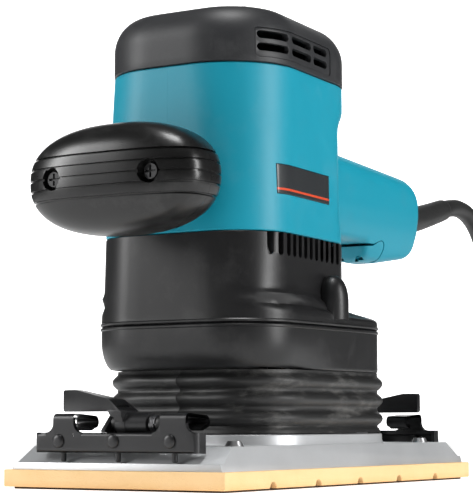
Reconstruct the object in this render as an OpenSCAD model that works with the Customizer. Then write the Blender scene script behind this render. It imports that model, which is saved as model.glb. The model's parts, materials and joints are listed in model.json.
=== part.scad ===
// Half-sheet orbital sander with a front grip, a trigger handle and lever paper clamps.
// Millimetres. +Z is up, the front grip is at -Y, the handle and the lead are at +Y.
// The origin is the middle of the sanding face, which is at z = 0.

/* [Pad and plate] */
// Width of the sanding pad
pad_w = 115; // [100:1:130]
// Length of the sanding pad
pad_l = 229; // [215:1:260]
// Thickness of the pad foam
pad_t = 7.5; // [5:0.5:12]
// Thickness of the dark facing under the foam
facing_t = 0.9; // [0.6:0.1:1.5]
// How far the facing stays inside the foam's edge
facing_inset = 2.5; // [1:0.5:5]
// Number of dust grooves across the pad
groove_count = 5; // [2:1:7]
// Width of a dust groove
groove_w = 5; // [3:0.5:7]
// How far the plate stays inside the pad's edge
plate_inset = 2.8; // [1:0.2:5]
// Height of the plate's upright end lip
lip_h = 3.1; // [2:0.1:5]
// Height of the plate from the foam to its flat top
plate_h = 10.2; // [8:0.2:14]
// Depth of the flat ledge behind each end lip
ledge_l = 2.5; // [2:0.1:4]
// Length of the sloping face at each end of the plate
bevel_l = 9.5; // [8:0.5:12]
// Height of the raised deck under the bellows
deck_h = 4.7; // [3:0.1:7]

/* [Housing] */
// Width of the motor housing at its widest
body_w = 94; // [90:1:114]
// Distance from the origin to the front of the motor housing
body_front = 72.6; // [71:0.5:80]
// Distance from the origin to the back of the motor housing
body_rear = 29; // [28:0.5:40]
// Height of the joint between the fan housing and the motor housing
joint_z = 112.5; // [110:0.5:118]
// Height of the motor housing above that joint
body_h = 75.5; // [75:0.5:90]
// Height of the top cover
cover_h = 28; // [24:0.5:34]
// Wall of the plastic shells
wall = 3; // [2.4:0.1:3.6]
// Width of the skirt ring
ring_w = 100; // [98:1:110]
// Height of the skirt ring
ring_h = 20; // [18:0.5:26]
// Number of exhaust slots on each side
slot_count = 12; // [6:1:12]
// Width of an exhaust slot
slot_w = 3.3; // [2:0.1:4]

/* [Motor] */
// Distance from the origin to the motor axis, towards the front
axis_back = 22; // [20:0.5:24]
// Offset of the eccentric pin from the motor axis
throw = 2.5; // [1:0.1:3]
// Outer diameter of the stator
stator_d = 78; // [64:1:80]
// Outer diameter of the armature
armature_d = 45; // [36:1:46]
// Length of the iron cores
core_l = 40; // [30:1:42]
// Diameter of the cooling fan
fan_d = 76; // [60:1:80]
// Diameter of the shaft in the lower bearing
shaft_d = 15; // [12:1:17]
// Diameter of the eccentric pin
pin_d = 12; // [10:1:14]

/* [Handle] */
// Width of the rear handle
handle_w = 36; // [32:1:44]
// Distance from the origin to the end of the handle
handle_end = 144; // [138:1:160]
// Width of the front grip
grip_w = 90; // [70:1:105]
// Height of the front grip
grip_h = 48.6; // [40:0.2:56]
// Diameter of the trigger's pivot pin
trigger_pin_d = 4; // [3:0.2:5]

/* [Clamps] */
// Length of a clamp bar
bar_l = 85; // [76:1:96]
// Height of a clamp bar
bar_h = 8.6; // [7:0.2:10]
// Height of the end of a clamp lever
lever_h = 9.2; // [6:0.2:12]
// Reach of a clamp lever towards the side
lever_reach = 40; // [34:0.5:46]
// Diameter of the clamp pivot pins
pivot_d = 5; // [4:0.2:5.4]

/* [Lead] */
// Diameter of the power lead
cord_d = 10; // [8:0.5:10]

/* [Hidden] */

$fn = 48;
eps = 0.02;
fit = 0.1;               // gap between pieces of one body
run = 0.05;              // radial running fit of a pin in its bore
gap = 0.4;               // gap between pieces that move apart
press = 0.02;            // radial gap of a bearing on its seat

// Heights
pad_top = facing_t + pad_t;
lip_z = pad_top + lip_h;
plate_z = pad_top + plate_h;
deck_z = plate_z + deck_h;
ring_z = 52;
ring_top = ring_z + ring_h;
body_top = joint_z + body_h;
cover_top = body_top + cover_h;
bearing_z = ring_top - 10;   // bottom of the lower bearing
stator_z = joint_z + 9.5;
core_top = stator_z + core_l;
comm_z = core_top + 7;
comm_h = 12;
top_bearing_z = body_top - 3;

// Plans: front half-width, front radius, front y, rear half-width, rear radius, rear y
axis_y = -axis_back;
body_plan = [body_w / 2, 27, -body_front, body_w / 2 - 5, 24, body_rear];
ring_plan = [ring_w / 2, 29, -body_front - 0.4, ring_w / 2, 29, body_rear + 24];
bellows_plan = [ring_w / 2 - 2.5, 27, -body_front + 10.4, ring_w / 2 - 2.5, 27, body_rear + 26.5];

function arc(c, r, a0, a1, n = 8) =
    [for (i = [0:n]) let (a = a0 + (a1 - a0) * i / n) c + r * [cos(a), sin(a)]];

function plan_points(p, g) = concat(
    arc([p[3] - p[4], p[5] - p[4]], p[4] + g, 0, 90),
    arc([p[4] - p[3], p[5] - p[4]], p[4] + g, 90, 180),
    arc([p[1] - p[0], p[2] + p[1]], p[1] + g, 180, 270),
    arc([p[0] - p[1], p[2] + p[1]], p[1] + g, 270, 360));

// A plan outline grown by g, raised from z0 to z1
module slab(p, g, z0, z1) {
    translate([0, 0, z0]) linear_extrude(z1 - z0) polygon(plan_points(p, g));
}

// A y-z outline, extruded along x from x0 to x1
module along_x(x0, x1) {
    translate([x0, 0, 0]) rotate([90, 0, 90]) linear_extrude(x1 - x0) children();
}

// An x-z outline, extruded along y from y0 to y1
module along_y(y0, y1) {
    translate([0, y1, 0]) rotate([90, 0, 0]) linear_extrude(y1 - y0) children();
}

module block(x, y, z) {
    translate([x[0], y[0], z[0]]) cube([x[1] - x[0], y[1] - y[0], z[1] - z[0]]);
}

module on_axis() {
    translate([0, axis_y, 0]) children();
}

module pan_screw(head_r, head_h, r, l) {
    translate([0, 0, -l]) cylinder(r = r, h = l + eps);
    difference() {
        cylinder(r1 = head_r, r2 = head_r * 0.75, h = head_h);
        for (a = [0, 90]) rotate(a) translate([-head_r * 0.6, -0.5, head_h - 0.9]) cube([head_r * 1.2, 1, 2]);
    }
}

// ---------- Motor housing and rear handle ----------
handle_top = joint_z + 53;       // top of the handle where it leaves the housing
handle_low = joint_z + 8.5;      // underside of the handle
bulge_low = joint_z - 1.2;       // lowest line of the handle at the trigger
trig_y = handle_end - 41;        // trigger pivot
trig_z = joint_z + 4.5;
trig_r = 5.5;
trig_rib_x = 5.5;               // the two ribs that carry the trigger pin
handle_wall = 3;
screw_head_x = 11;               // depth of the counterbored screw heads from the parting plane

module handle_side(g = 0) {
    e = handle_end + g;
    polygon(concat(
        [[body_rear - 12, handle_low - g], [trig_y - 18, handle_low - g], [trig_y - 14, bulge_low + 2.5 - g]],
        [[trig_y - 5, bulge_low - g], [trig_y + 15, bulge_low - g]],
        arc([e - 12, bulge_low + 13 - g], 12, -80, 0, 6),
        arc([e - 15, handle_top - 24 + g], 15, 0, 80, 6),
        [[body_rear + 36, handle_top - 2 + g], [body_rear - 12, handle_top + g]]));
}

// Rounded rear end, seen from above
module handle_plan(g = 0) {
    h = handle_w / 2 + g;
    e = handle_end + g;
    polygon(concat(
        [[-h, body_rear - 12], [h, body_rear - 12]],
        arc([h - 12, e - 12], 12, 0, 90), arc([12 - h, e - 12], 12, 90, 180)));
}

// Section across the handle, which is narrower below
module handle_section(g = 0) {
    h = handle_w / 2 + g;
    low = bulge_low - g;
    right = [[h - 11.5, low], [h - 8.6, low + 2.2], [h - 5.8, low + 6.2], [h - 3.2, low + 11.5], [h - 1.2, low + 18],
        [h, low + 27], [h, handle_top - 9], [h - 2.6, handle_top - 2.6 + g], [h - 9, handle_top + g]];
    polygon(concat(right, [for (i = [len(right) - 1:-1:0]) [-right[i][0], right[i][1]]]));
}

module handle_solid(g = 0) {
    intersection() {
        along_x(-handle_w, handle_w) handle_side(g);
        translate([0, 0, bulge_low - 10]) linear_extrude(80) handle_plan(g);
        along_y(0, handle_end + 5) handle_section(g);
    }
}

// Room for the trigger in the handle's side walls
module trigger_room() {
    along_x(-handle_w, handle_w) {
        translate([trig_y, trig_z]) circle(r = trig_r + gap);
        polygon([
            [trig_y - 22, bulge_low - 5], [trig_y + trig_r + gap, bulge_low - 5],
            [trig_y + trig_r + gap, trig_z], [trig_y - 6, handle_low + 1], [trig_y - 22, handle_low - 0.4]]);
    }
}

module housing_shell() {
    difference() {
        union() {
            slab(body_plan, 0, joint_z, body_top);
            handle_solid();
        }
        slab(body_plan, -wall, joint_z - 1, body_top + 1);
        intersection() {
            handle_solid(-handle_wall);
            block([-50, 50], [body_rear - 20, handle_end], [0, 300]);
        }
        trigger_room();
        // lead entry, lock button and a recess for the badge
        translate([0, handle_end + 1, lead_z]) rotate([90, 0, 0]) cylinder(r = guard_r + fit, h = 12);
        translate([-handle_w, button_y, button_z]) rotate([0, 90, 0]) cylinder(r = button_r + gap, h = handle_w);
    }
    difference() {
        union() {
            // webs that hold the stator, and the top web that holds the upper bearing
            for (z = [stator_z + 3, core_top - 7]) slab(body_plan, -wall + 0.5, z, z + 4);
            slab(body_plan, -wall + 0.5, body_top - 4, body_top - 0.5);
            on_axis() translate([0, 0, top_bearing_z - 2]) cylinder(r = 15, h = 9.5);
        }
        on_axis() cylinder(r = stator_d / 2 + press, h = core_top + 5);
        on_axis() translate([0, 0, top_bearing_z]) cylinder(r = 11 + press, h = 30);
        on_axis() cylinder(r = 9, h = 300);
        for (a = [0:60:300]) on_axis() rotate(a + 30) translate([27, 0, body_top - 8]) cylinder(r = 7, h = 12);
    }
    // two ribs that carry the trigger pin
    for (s = [-1, 1]) difference() {
        translate([s * trig_rib_x - 1.25, 0, 0]) along_x(0, 2.5) union() {
            translate([trig_y, trig_z]) circle(r = 3.8);
            polygon([[trig_y - 3.8, trig_z], [trig_y + 3.8, trig_z], [trig_y + 6, trig_z + 10.5],
                [trig_y - 3, trig_z + 10.5]]);
        }
        translate([-20, trig_y, trig_z]) rotate([0, 90, 0]) cylinder(d = trigger_pin_d + 2 * press, h = 40);
    }
    for (s = [-1, 1]) block(s > 0 ? [trig_rib_x - 1, handle_w / 2 - 2] : [2 - handle_w / 2, 1 - trig_rib_x],
        [trig_y - 3, trig_y + 6], [trig_z + 8.3, trig_z + 10.5]);
}

// screw bosses of the housing halves, as y and z
screw_spots = [[-body_front + 17, body_top - 12], [body_rear - 6.5, joint_z + 37.5], [-body_front + 7, joint_z + 7.5],
    [body_rear + 31, handle_top - 8], [handle_end - 22, handle_top - 11.5], [handle_end - 16, handle_low + 3]];

module housing_half(side) {
    color("darkcyan") difference() {
        intersection() {
            union() {
                housing_shell();
                intersection() {
                    for (p = screw_spots) translate([0, p[0], p[1]]) rotate([0, 90, 0])
                        cylinder(r = 3.4, h = 2 * body_w, center = true);
                    union() {
                        slab(body_plan, -1, joint_z, body_top);
                        handle_solid(-1);
                    }
                }
                // seat of the front grip
                translate([0, -body_front + 5, grip_z]) rotate([90, 0, 0]) cylinder(r = 16, h = 11);
            }
            block([side > 0 ? fit / 4 : -60, side > 0 ? 60 : -fit / 4], [-90, 160], [100, 200]);
        }
        for (p = screw_spots) translate([0, p[0], p[1]]) rotate([0, 90, 0])
            cylinder(r = 1.6 + fit, h = 30, center = true);
        if (side < 0) for (p = screw_spots) translate([-screw_head_x, p[0], p[1]]) rotate([0, -90, 0])
            cylinder(r = 3 + fit, h = body_w);
        for (s = [-1, 1]) translate([s * 8, -body_front + 12, grip_z]) rotate([90, 0, 0])
            cylinder(r = 2 + fit, h = 30);
        if (side > 0) badge_solid(fit);
    }
}

module housing_right() { housing_half(1); }
module housing_left() { housing_half(-1); }

module housing_screws() {
    color("dimgray") for (p = screw_spots) translate([-screw_head_x, p[0], p[1]]) rotate([0, -90, 0])
        pan_screw(3, 2, 1.6, screw_head_x + 10);
}

badge_l = 51.2;
badge_h = 13.2;
badge_y = -26.8;
badge_z = joint_z + 23.7;
module badge_solid(g) {
    intersection() {
        difference() {
            slab(body_plan, 1, joint_z, body_top);
            slab(body_plan, -0.8 - g / 2, joint_z, body_top);
        }
        block([20, 60], [badge_y - badge_l / 2 - g, badge_y + badge_l / 2 + g],
              [badge_z - badge_h / 2 - g, badge_z + badge_h / 2 + g]);
    }
}
module badge_plate() {
    color("#333333") intersection() {
        badge_solid(0);
        slab(body_plan, -0.2, joint_z, body_top);
    }
}

// ---------- Top cover ----------
panel_front = -60;
panel_rear = 2;
panel_low = body_top + 2.5;
panel_high = body_top + 16;

// Cover outline with a round top edge, grown by g
module cover_solid(g) {
    top = cover_top + g;
    h = body_w / 2 + 0.3 + g;
    intersection() {
        slab(body_plan, 0.3 + g, body_top - (g < 0 ? 1 : 0), top);
        along_y(-body_front - 5, body_rear + 5) polygon(concat(
            [[-h - 1, 0], [h + 1, 0]],
            arc([h - 14, top - 15], 15, 0, 90), arc([14 - h, top - 15], 15, 90, 180)));
        along_x(-60, 60) polygon(concat(
            [[-body_front - 1.3 - g, 0], [body_rear + 1.3 + g, 0]],
            arc([body_rear + g - 13, top - 14], 14.3, 0, 90),
            arc([-body_front - g + 14, top - 15], 15.3, 90, 180)));
    }
}

module panel_window(side, g) {
    x = side > 0 ? [20, 60] : [-60, -20];
    block(x, [panel_front - g, panel_rear + g], [panel_low - g, panel_high + g]);
}

module top_cover() {
    color("#4a4a4c") difference() {
        cover_solid(0);
        cover_solid(-wall);
        for (s = [-1, 1]) panel_window(s, 0);
        for (p = cover_spots) translate([p[0], p[1], cover_top - 40]) cylinder(r = 1.6 + fit, h = 60);
        for (p = cover_spots) translate([p[0], p[1], cover_top - 1]) cylinder(r = 4, h = 2);
    }
    // screw columns that stand on the motor housing
    color("#4a4a4c") for (p = cover_spots) difference() {
        translate([p[0], p[1], body_top]) cylinder(r = 4, h = cover_h - wall);
        translate([p[0], p[1], body_top - 1]) cylinder(r = 1.6 + fit, h = 40);
    }
}

module vent_panel(side) {
    color("#555557") difference() {
        intersection() {
            difference() {
                cover_solid(-0.3);
                cover_solid(-wall + 0.3);
            }
            panel_window(side, -0.2);
        }
        for (row = [0, 1], k = [0:2]) {
            y0 = [-58, -34.5, -13.5][k];
            y1 = [-37, -16, -1.5][k];
            x = side > 0 ? [20, 60] : [-60, -20];
            block(x, [y0, y1], [body_top + 5.6 + row * 5.6, body_top + 8.6 + row * 5.6]);
        }
    }
}
module vent_panel_right() { vent_panel(1); }
module vent_panel_left() { vent_panel(-1); }

cover_spots = [[-26, -50], [26, -50], [-24, 12], [24, 12]];
module cover_screws() {
    color("dimgray") for (p = cover_spots) translate([p[0], p[1], cover_top - 1]) pan_screw(3, 0.9, 1.6, 20);
}

// ---------- Fan housing, skirt ring and bellows ----------
ledge_front = ring_top + 16;
ledge_rear = ring_top + 4;
boss_y = -9;

// Outline of the sloping ledge, lowered by g
module ledge_side(g) {
    polygon([[-90, ring_top - 1], [90, ring_top - 1], [body_rear + 30, ledge_rear - g],
             [-body_front + 12, ledge_front - g], [-90, ledge_front - g]]);
}

module fan_housing() {
    slot_pitch = 64.6 / (slot_count - 1);
    color("#1c1c1e") difference() {
        union() {
            slab(body_plan, 0, ring_top, joint_z);
            intersection() {
                slab(ring_plan, 0, ring_top, ledge_front);
                along_x(-60, 60) ledge_side(0);
            }
            for (s = [-1, 1]) translate([s * (body_w / 2 - 0.5), boss_y, ring_top + 4])
                cylinder(r1 = 7, r2 = 3, h = 19);
        }
        slab(body_plan, -wall, ring_top - 1, joint_z + 1);
        intersection() {
            slab(ring_plan, -wall, ring_top - 2, ledge_front);
            along_x(-60, 60) ledge_side(wall);
        }
        for (i = [0:slot_count - 1], s = [-1, 1]) {
            y = -57 + i * slot_pitch;
            translate([s * 45, y, 0]) block([-15, 15], [-slot_w / 2, slot_w / 2], [joint_z - 10.5, joint_z + 1]);
        }
    }
}

module skirt_ring() {
    color("#161617") difference() {
        intersection() {
            slab(ring_plan, 0, ring_z, ring_top);
            along_x(-60, 60) polygon([[ring_plan[2], ring_top + 1], [ring_plan[2], ring_top - 4],
                [ring_plan[2] + 6, ring_z - 1], [ring_plan[5] + 1, ring_z - 1], [ring_plan[5] + 1, ring_top + 1]]);
        }
        intersection() {
            slab(ring_plan, -wall, ring_z - 1, ring_top + 1);
            block([-60, 60], [ring_plan[2] + 9, 100], [0, 200]);
        }
        for (p = ring_spots) translate([p[0], p[1], 0]) cylinder(r = 1.9, h = 300);
    }
    color("#161617") for (p = ring_spots) difference() {
        translate([p[0], p[1], ring_z]) cylinder(r = 6.7, h = ring_h - 4 - fit);
        translate([p[0], p[1], 0]) cylinder(r = 1.9, h = 300);
    }
}

ring_spots = [for (s = [-1, 1], q = [[ring_w / 2 - 9.5, -38], [ring_w / 2 - 12, 34]]) [s * q[0], q[1]]];
module ring_screws() {
    color("dimgray") for (p = ring_spots) translate([p[0], p[1], ring_z]) mirror([0, 0, 1])
        pan_screw(3.2, 2, 1.8, 19.5);
}

leg_spots = [[-28, -46], [28, -46], [-28, 12], [28, 12]];
bellows_wall = 3;
module bellows() {
    foot = deck_z + gap;
    top = ring_z;
    ribs = [30.4, 38.9, 46.9];
    color("#1f1f20") difference() {
        union() {
            slab(bellows_plan, 0, foot, top - fit);
            slab(bellows_plan, 1.6, foot, foot + 2.2);
            for (z = ribs) {
                slab(bellows_plan, 1.6, z - 2.6, z + 2.6);
                slab(bellows_plan, 2.6, z - 1.4, z + 1.4);
            }
        }
        slab(bellows_plan, -bellows_wall, foot - 1, top + 1);
    }
}

module support_legs() {
    color("#303030") for (p = leg_spots) translate([p[0], p[1], 0]) difference() {
        union() {
            translate([0, 0, deck_z + gap]) cylinder(r = 7, h = ring_top - 4 - deck_z - gap - fit);
            translate([0, 0, deck_z + gap]) cylinder(r = 8.5, h = 3);
        }
        translate([0, 0, ring_top - 24]) cylinder(r = 2.5 + press, h = 30);
    }
}

module leg_screws() {
    color("silver") for (p = leg_spots) translate([p[0], p[1], ring_top]) pan_screw(4.2, 2.6, 2.5, 22);
}

module bearing_plate() {
    color("silver") difference() {
        union() {
            intersection() {
                slab(ring_plan, -wall - fit, ring_top - 4, ring_top);
                block([-60, 60], [ring_plan[2] + 9 + fit, 100], [0, 200]);
            }
            on_axis() translate([0, 0, bearing_z - 2]) cylinder(r = 23, h = 15);
        }
        on_axis() translate([0, 0, bearing_z]) cylinder(r = 17.5 + press, h = 40);
        on_axis() translate([0, 0, bearing_z - 5]) cylinder(r = 12, h = 40);
        for (p = leg_spots) translate([p[0], p[1], 0]) cylinder(r = 2.5 + fit, h = 200);
        for (p = ring_spots) translate([p[0], p[1], 0]) cylinder(r = 1.9, h = 200);
    }
}

// ---------- Front grip ----------
grip_z = joint_z + 20.5;
grip_y = -body_front - 32.4;
grip_t = 40;

function oval(a, b, p, n = 64) = [for (i = [0:n - 1]) let (t = 360 * i / n)
    [a * sign(cos(t)) * pow(abs(cos(t)), 2 / p), b * sign(sin(t)) * pow(abs(sin(t)), 2 / p)]];

module grip_solid() {
    translate([0, grip_y, grip_z]) intersection() {
        along_y(-grip_t, grip_t) polygon(oval(grip_w / 2, grip_h / 2, 2.3));
        translate([0, 0, -60]) linear_extrude(120) polygon(oval(grip_w / 2, grip_t / 2, 2.6));
        along_x(-60, 60) polygon(oval(grip_t / 2, grip_h / 2, 2.4));
    }
}

grip_spots = [-25.4, 25.4];
grip_seat = 14;                  // depth of the screw seats from the parting plane
module grip_front_shell() {
    color("#232324") difference() {
        intersection() {
            grip_solid();
            block([-60, 60], [-200, grip_y - fit / 2], [0, 300]);
        }
        for (k = [-2:2]) block([-60, 60], [-200, grip_y - grip_t / 2 + 1.2], [grip_z + k * 4.7 - 0.5, grip_z + k * 4.7 + 0.5]);
        for (x = grip_spots) translate([x, grip_y, grip_z]) rotate([90, 0, 0]) {
            cylinder(r = 2 + fit, h = 40);
            translate([0, 0, grip_seat]) cylinder(r = 5, h = 30);
        }
    }
}

module grip_rear_shell() {
    color("#232324") difference() {
        union() {
            intersection() {
                grip_solid();
                block([-60, 60], [grip_y + fit / 2, 0], [0, 300]);
            }
            translate([0, -body_front - 6 - fit, grip_z]) rotate([90, 0, 0]) cylinder(r = 15, h = 14);
        }
        for (x = grip_spots) translate([x, grip_y + 12, grip_z]) rotate([90, 0, 0]) cylinder(r = 2 + fit, h = 40);
        for (x = [-8, 8]) translate([x, -body_front + 12, grip_z]) rotate([90, 0, 0]) cylinder(r = 2 + fit, h = 38);
    }
}

module grip_screws() {
    color("silver") for (x = grip_spots) translate([x, grip_y - grip_seat, grip_z]) rotate([90, 0, 0])
        pan_screw(4.4, 2.6, 2, 24);
    color("silver") for (x = [-8, 8]) translate([x, -body_front + 5, grip_z]) rotate([-90, 0, 0])
        pan_screw(4, 2, 2, 30);
}

// ---------- Motor ----------
module stator_core() {
    color("slategray") on_axis() translate([0, 0, stator_z]) difference() {
        cylinder(d = stator_d, h = core_l);
        translate([0, 0, -1]) cylinder(d = armature_d + 1.4, h = core_l + 2);
    }
}

module field_windings() {
    color("#b5651d") on_axis() for (z = [stator_z - 7, core_top]) translate([0, 0, z]) difference() {
        cylinder(r = stator_d / 2 - 3, h = 7);
        translate([0, 0, -1]) cylinder(r = armature_d / 2 + 3, h = 9);
    }
}

module armature_core() {
    color("gray") on_axis() translate([0, 0, stator_z]) difference() {
        cylinder(d = armature_d, h = core_l);
        translate([0, 0, -1]) cylinder(r = 5 + press, h = core_l + 2);
        for (a = [0:30:330]) rotate(a) translate([armature_d / 2 - 2, -0.8, -1]) cube([4, 1.6, core_l + 2]);
    }
}

module armature_windings() {
    color("#c8742a") on_axis() for (z = [stator_z - 7, core_top]) translate([0, 0, z]) difference() {
        cylinder(r = armature_d / 2 - 2.5, h = 6.5);
        translate([0, 0, -1]) cylinder(r = 5 + press, h = 9);
    }
}

module commutator() {
    color("#c08040") on_axis() translate([0, 0, comm_z]) difference() {
        cylinder(r = 13, h = comm_h);
        translate([0, 0, -1]) cylinder(r = 5 + press, h = comm_h + 2);
        for (a = [0:20:340]) rotate(a) translate([12.2, -0.3, -1]) cube([2, 0.6, comm_h + 2]);
    }
}

module motor_shaft() {
    color("silver") on_axis() {
        translate([0, 0, bearing_z - 1]) cylinder(d = shaft_d - 2 * press, h = 13);
        translate([0, 0, bearing_z + 12 - eps]) cylinder(r = 5, h = top_bearing_z - bearing_z - 12 + eps);
        translate([0, 0, top_bearing_z - eps]) cylinder(r = 4 - press, h = 8);
        translate([0, 0, deck_z + 15.5]) cylinder(r = 10, h = bearing_z - deck_z - 16.5 + eps);
        translate([0, -throw, deck_z + 4]) cylinder(d = pin_d - 2 * press, h = 11.5 + eps);
    }
}

module ball_bearing(ro, ri, h) {
    groove = (ro - ri) * 0.3;
    mid = (ro + ri) / 2;
    difference() {
        cylinder(r = ro, h = h);
        translate([0, 0, -1]) cylinder(r = ri, h = h + 2);
        for (z = [-1, h - 0.6]) translate([0, 0, z]) difference() {
            cylinder(r = mid + groove, h = 1.6);
            translate([0, 0, -1]) cylinder(r = mid - groove, h = 4);
        }
    }
}

module upper_bearing() { color("silver") on_axis() translate([0, 0, top_bearing_z]) ball_bearing(11, 4, 7); }
module lower_bearing() { color("silver") on_axis() translate([0, 0, bearing_z]) ball_bearing(17.5, shaft_d / 2, 11); }

module cooling_fan() {
    z0 = ring_top + 14;
    color("#e8e4da") on_axis() translate([0, 0, z0]) difference() {
        union() {
            cylinder(d = fan_d, h = 2.5);
            cylinder(r = 12, h = 20);
            for (a = [0:30:330]) rotate(a) block([11, fan_d / 2 - 0.2], [-0.9, 0.9], [2, 17]);
        }
        translate([0, 0, -1]) cylinder(r = 5 + press, h = 30);
    }
}

module counterweight() {
    z0 = deck_z + 17.5;
    color("slategray") on_axis() translate([0, 0, z0]) difference() {
        union() {
            cylinder(r = 15, h = 12);
            intersection() {
                cylinder(r = 29, h = 12);
                block([-40, 40], [0, 40], [-1, 20]);
            }
        }
        translate([0, 0, -1]) cylinder(r = 10 + press, h = 20);
    }
}

brush_z = comm_z + comm_h / 2;
module brush_holders() {
    color("goldenrod") for (s = [-1, 1]) on_axis() difference() {
        block(s > 0 ? [17, 34] : [-34, -17], [-5.5, 5.5], [brush_z - 4, brush_z + 4]);
        block(s > 0 ? [16, 35] : [-35, -16], [-4.1, 4.1], [brush_z - 2.6, brush_z + 2.6]);
    }
}
module carbon_brushes() {
    color("#222222") for (s = [-1, 1]) on_axis()
        block(s > 0 ? [13.4, 28] : [-28, -13.4], [-4, 4], [brush_z - 2.5, brush_z + 2.5]);
}

// ---------- Switch, trigger and lead ----------
module switch_body() {
    color("#2a2a2a") {
        block([-8.2, 8.2], [trig_y - 20, trig_y + 14], [handle_low + 8, handle_low + 28]);
        block([-3, 3], [trig_y - 14, trig_y - 8], [handle_low + 4, handle_low + 8 + eps]);
    }
}

trigger_pin_l = 15;
module trigger_pin() {
    color("silver") translate([-trigger_pin_l / 2, trig_y, trig_z]) rotate([0, 90, 0])
        cylinder(d = trigger_pin_d, h = trigger_pin_l);
}

module trigger() {
    reach = trigger_pin_l / 2 + gap;
    color("#0f7f95") difference() {
        intersection() {
            along_x(-handle_w, handle_w) union() {
                translate([trig_y, trig_z]) circle(r = trig_r);
                polygon([
                    [trig_y - 18.3, handle_low - 2.6], [trig_y - 14, bulge_low + 2.8], [trig_y - 5, bulge_low + 0.2],
                    [trig_y + trig_r, bulge_low + 0.2], [trig_y + trig_r, trig_z], [trig_y - 4, trig_z + 3.6],
                    [trig_y - 7, handle_low - 1.4]]);
            }
            along_y(0, handle_end) handle_section(-0.3);
        }
        translate([-reach, trig_y, trig_z]) rotate([0, 90, 0]) cylinder(d = trigger_pin_d + 2 * run, h = 2 * reach);
        for (s = [-1, 1]) translate([s * trig_rib_x, 0, 0])
            block([-1.25 - gap, 1.25 + gap], [trig_y - 8, trig_y + 8], [trig_z - 4.4, trig_z + 10]);
    }
}

button_r = 4;
button_y = trig_y + 4;
button_z = handle_low + 22;
module lock_button() {
    color("#202020") translate([-handle_w / 2 - 3, button_y, button_z]) rotate([0, 90, 0])
        cylinder(r = button_r, h = 8.5);
}

lead_z = joint_z + 26;
guard_r = 7.6;
guard_tip_r = cord_d / 2 + 1.1;
guard_route = [[0, handle_end - 8, lead_z], [0, handle_end, lead_z], [0, handle_end + 12, lead_z + 0.5],
    [0, handle_end + 24, lead_z + 2.2], [0, handle_end + 36, lead_z + 4.8], [0, handle_end + 48, lead_z + 7.7],
    [0, handle_end + 60, lead_z + 10.8]];

function unit(v) = v / norm(v);
function heading(p, i) = unit(p[min(i + 1, len(p) - 1)] - p[max(i - 1, 0)]);
// Tube swept along points; every route here bends in a plane across x, so the rings never twist
module tube(p, radii, n = 12) {
    m = len(p);
    side = [1, 0, 0];
    rings = [for (i = [0:m - 1], k = [0:n - 1]) let (
        d = heading(p, i), across = unit(side - (side * d) * d), up = cross(d, across), a = 360 * k / n)
        p[i] + radii[i] * (cos(a) * across + sin(a) * up)];
    faces = concat(
        [[for (k = [0:n - 1]) k]],
        [for (i = [0:m - 2], k = [0:n - 1]) let (j = (k + 1) % n)
            [i * n + k, i * n + n + k, i * n + n + j, i * n + j]],
        [[for (k = [n - 1:-1:0]) (m - 1) * n + k]]);
    polyhedron(rings, faces, convexity = 4);
}

module cord_guard() {
    last = len(guard_route) - 1;
    color("#1a1a1a") {
        tube(guard_route, [for (i = [0:last]) guard_r + (guard_tip_r - guard_r) * max(i - 1, 0) / (last - 1)]);
        translate([0, handle_end - 8 + eps, lead_z]) rotate([90, 0, 0]) cylinder(r = 5.4, h = 12);
        translate([0, handle_end - 8, lead_z]) rotate([90, 0, 0]) cylinder(r = 9.5, h = 3);
    }
}

module cord_clamp() {
    color("#3a3a3a") difference() {
        block([-13, 13], [handle_end - 22, handle_end - 15], [lead_z + 5.5, lead_z + 9]);
        for (s = [-1, 1]) translate([s * 9.5, handle_end - 18.5, 0]) cylinder(r = 1.7, h = 300);
    }
}
module clamp_screws() {
    color("silver") for (s = [-1, 1]) translate([s * 9.5, handle_end - 18.5, lead_z + 9])
        pan_screw(2.8, 1.8, 1.5, 14);
}

// The lead's route: out of the guard, over and down, then on to the top of the coil
cord_route = [[0, 204, 149.3], [0, 214, 151.4], [0, 224, 152.2], [0, 234, 150.8], [0, 243, 147.2], [0, 251, 141.6],
    [0, 257.4, 134.2], [0, 261.8, 125.4], [0, 264, 115.8], [0, 264.4, 106], [0, 264.4, 94], [0, 264.4, 82],
    [0, 265.2, 72], [0, 268, 61.4], [0, 273, 51.2], [0, 280, 42.2], [0, 288.4, 34.8], [0, 298, 29.4], [0, 308, 26.6],
    [0, 316, 26]];
coil_c = [47.5, 316];
coil_ri = 47.5;
coil_ro = 57.5;
plug_x = coil_c[0] + coil_ro;
plug_route = [[plug_x, 316, 6], [plug_x, 304, 6.8], [plug_x, 292, 9.4], [plug_x, 280, 13.4], [plug_x, 269, 17],
    [plug_x, 258, 19], [plug_x, 250, 19.4]];
plug_y = 250;
plug_z = 19.4;

module power_cord() {
    color("#181818") {
        tube(cord_route, [for (p = cord_route) cord_d / 2]);
        tube(plug_route, [for (p = plug_route) cord_d / 2]);
    }
}

module cord_coil() {
    color("#202020") translate([coil_c[0], coil_c[1], 1]) rotate_extrude()
        translate([coil_ri - cord_d / 2, 0]) square([coil_ro - coil_ri + cord_d, 3 * cord_d]);
}

module cord_tie() {
    tie_y = coil_c[1] + coil_ri - cord_d / 2;
    depth = coil_ro - coil_ri + cord_d;
    color("#101010") translate([coil_c[0], 0, 0]) difference() {
        block([-4, 4], [tie_y - 2, tie_y + depth + 1.6], [0, 3 * cord_d + 2.4]);
        block([-5, 5], [tie_y - 0.6, tie_y + depth + 0.2], [0.9, 3 * cord_d + 1.2]);
    }
}

module plug_body() {
    color("#1c1c1c") translate([plug_x, plug_y, plug_z]) rotate([90, 0, 0]) {
        cylinder(r1 = 7, r2 = 9, h = 18 + eps);
        translate([0, 0, 18]) cylinder(r = 18.5, h = 34);
    }
}

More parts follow.
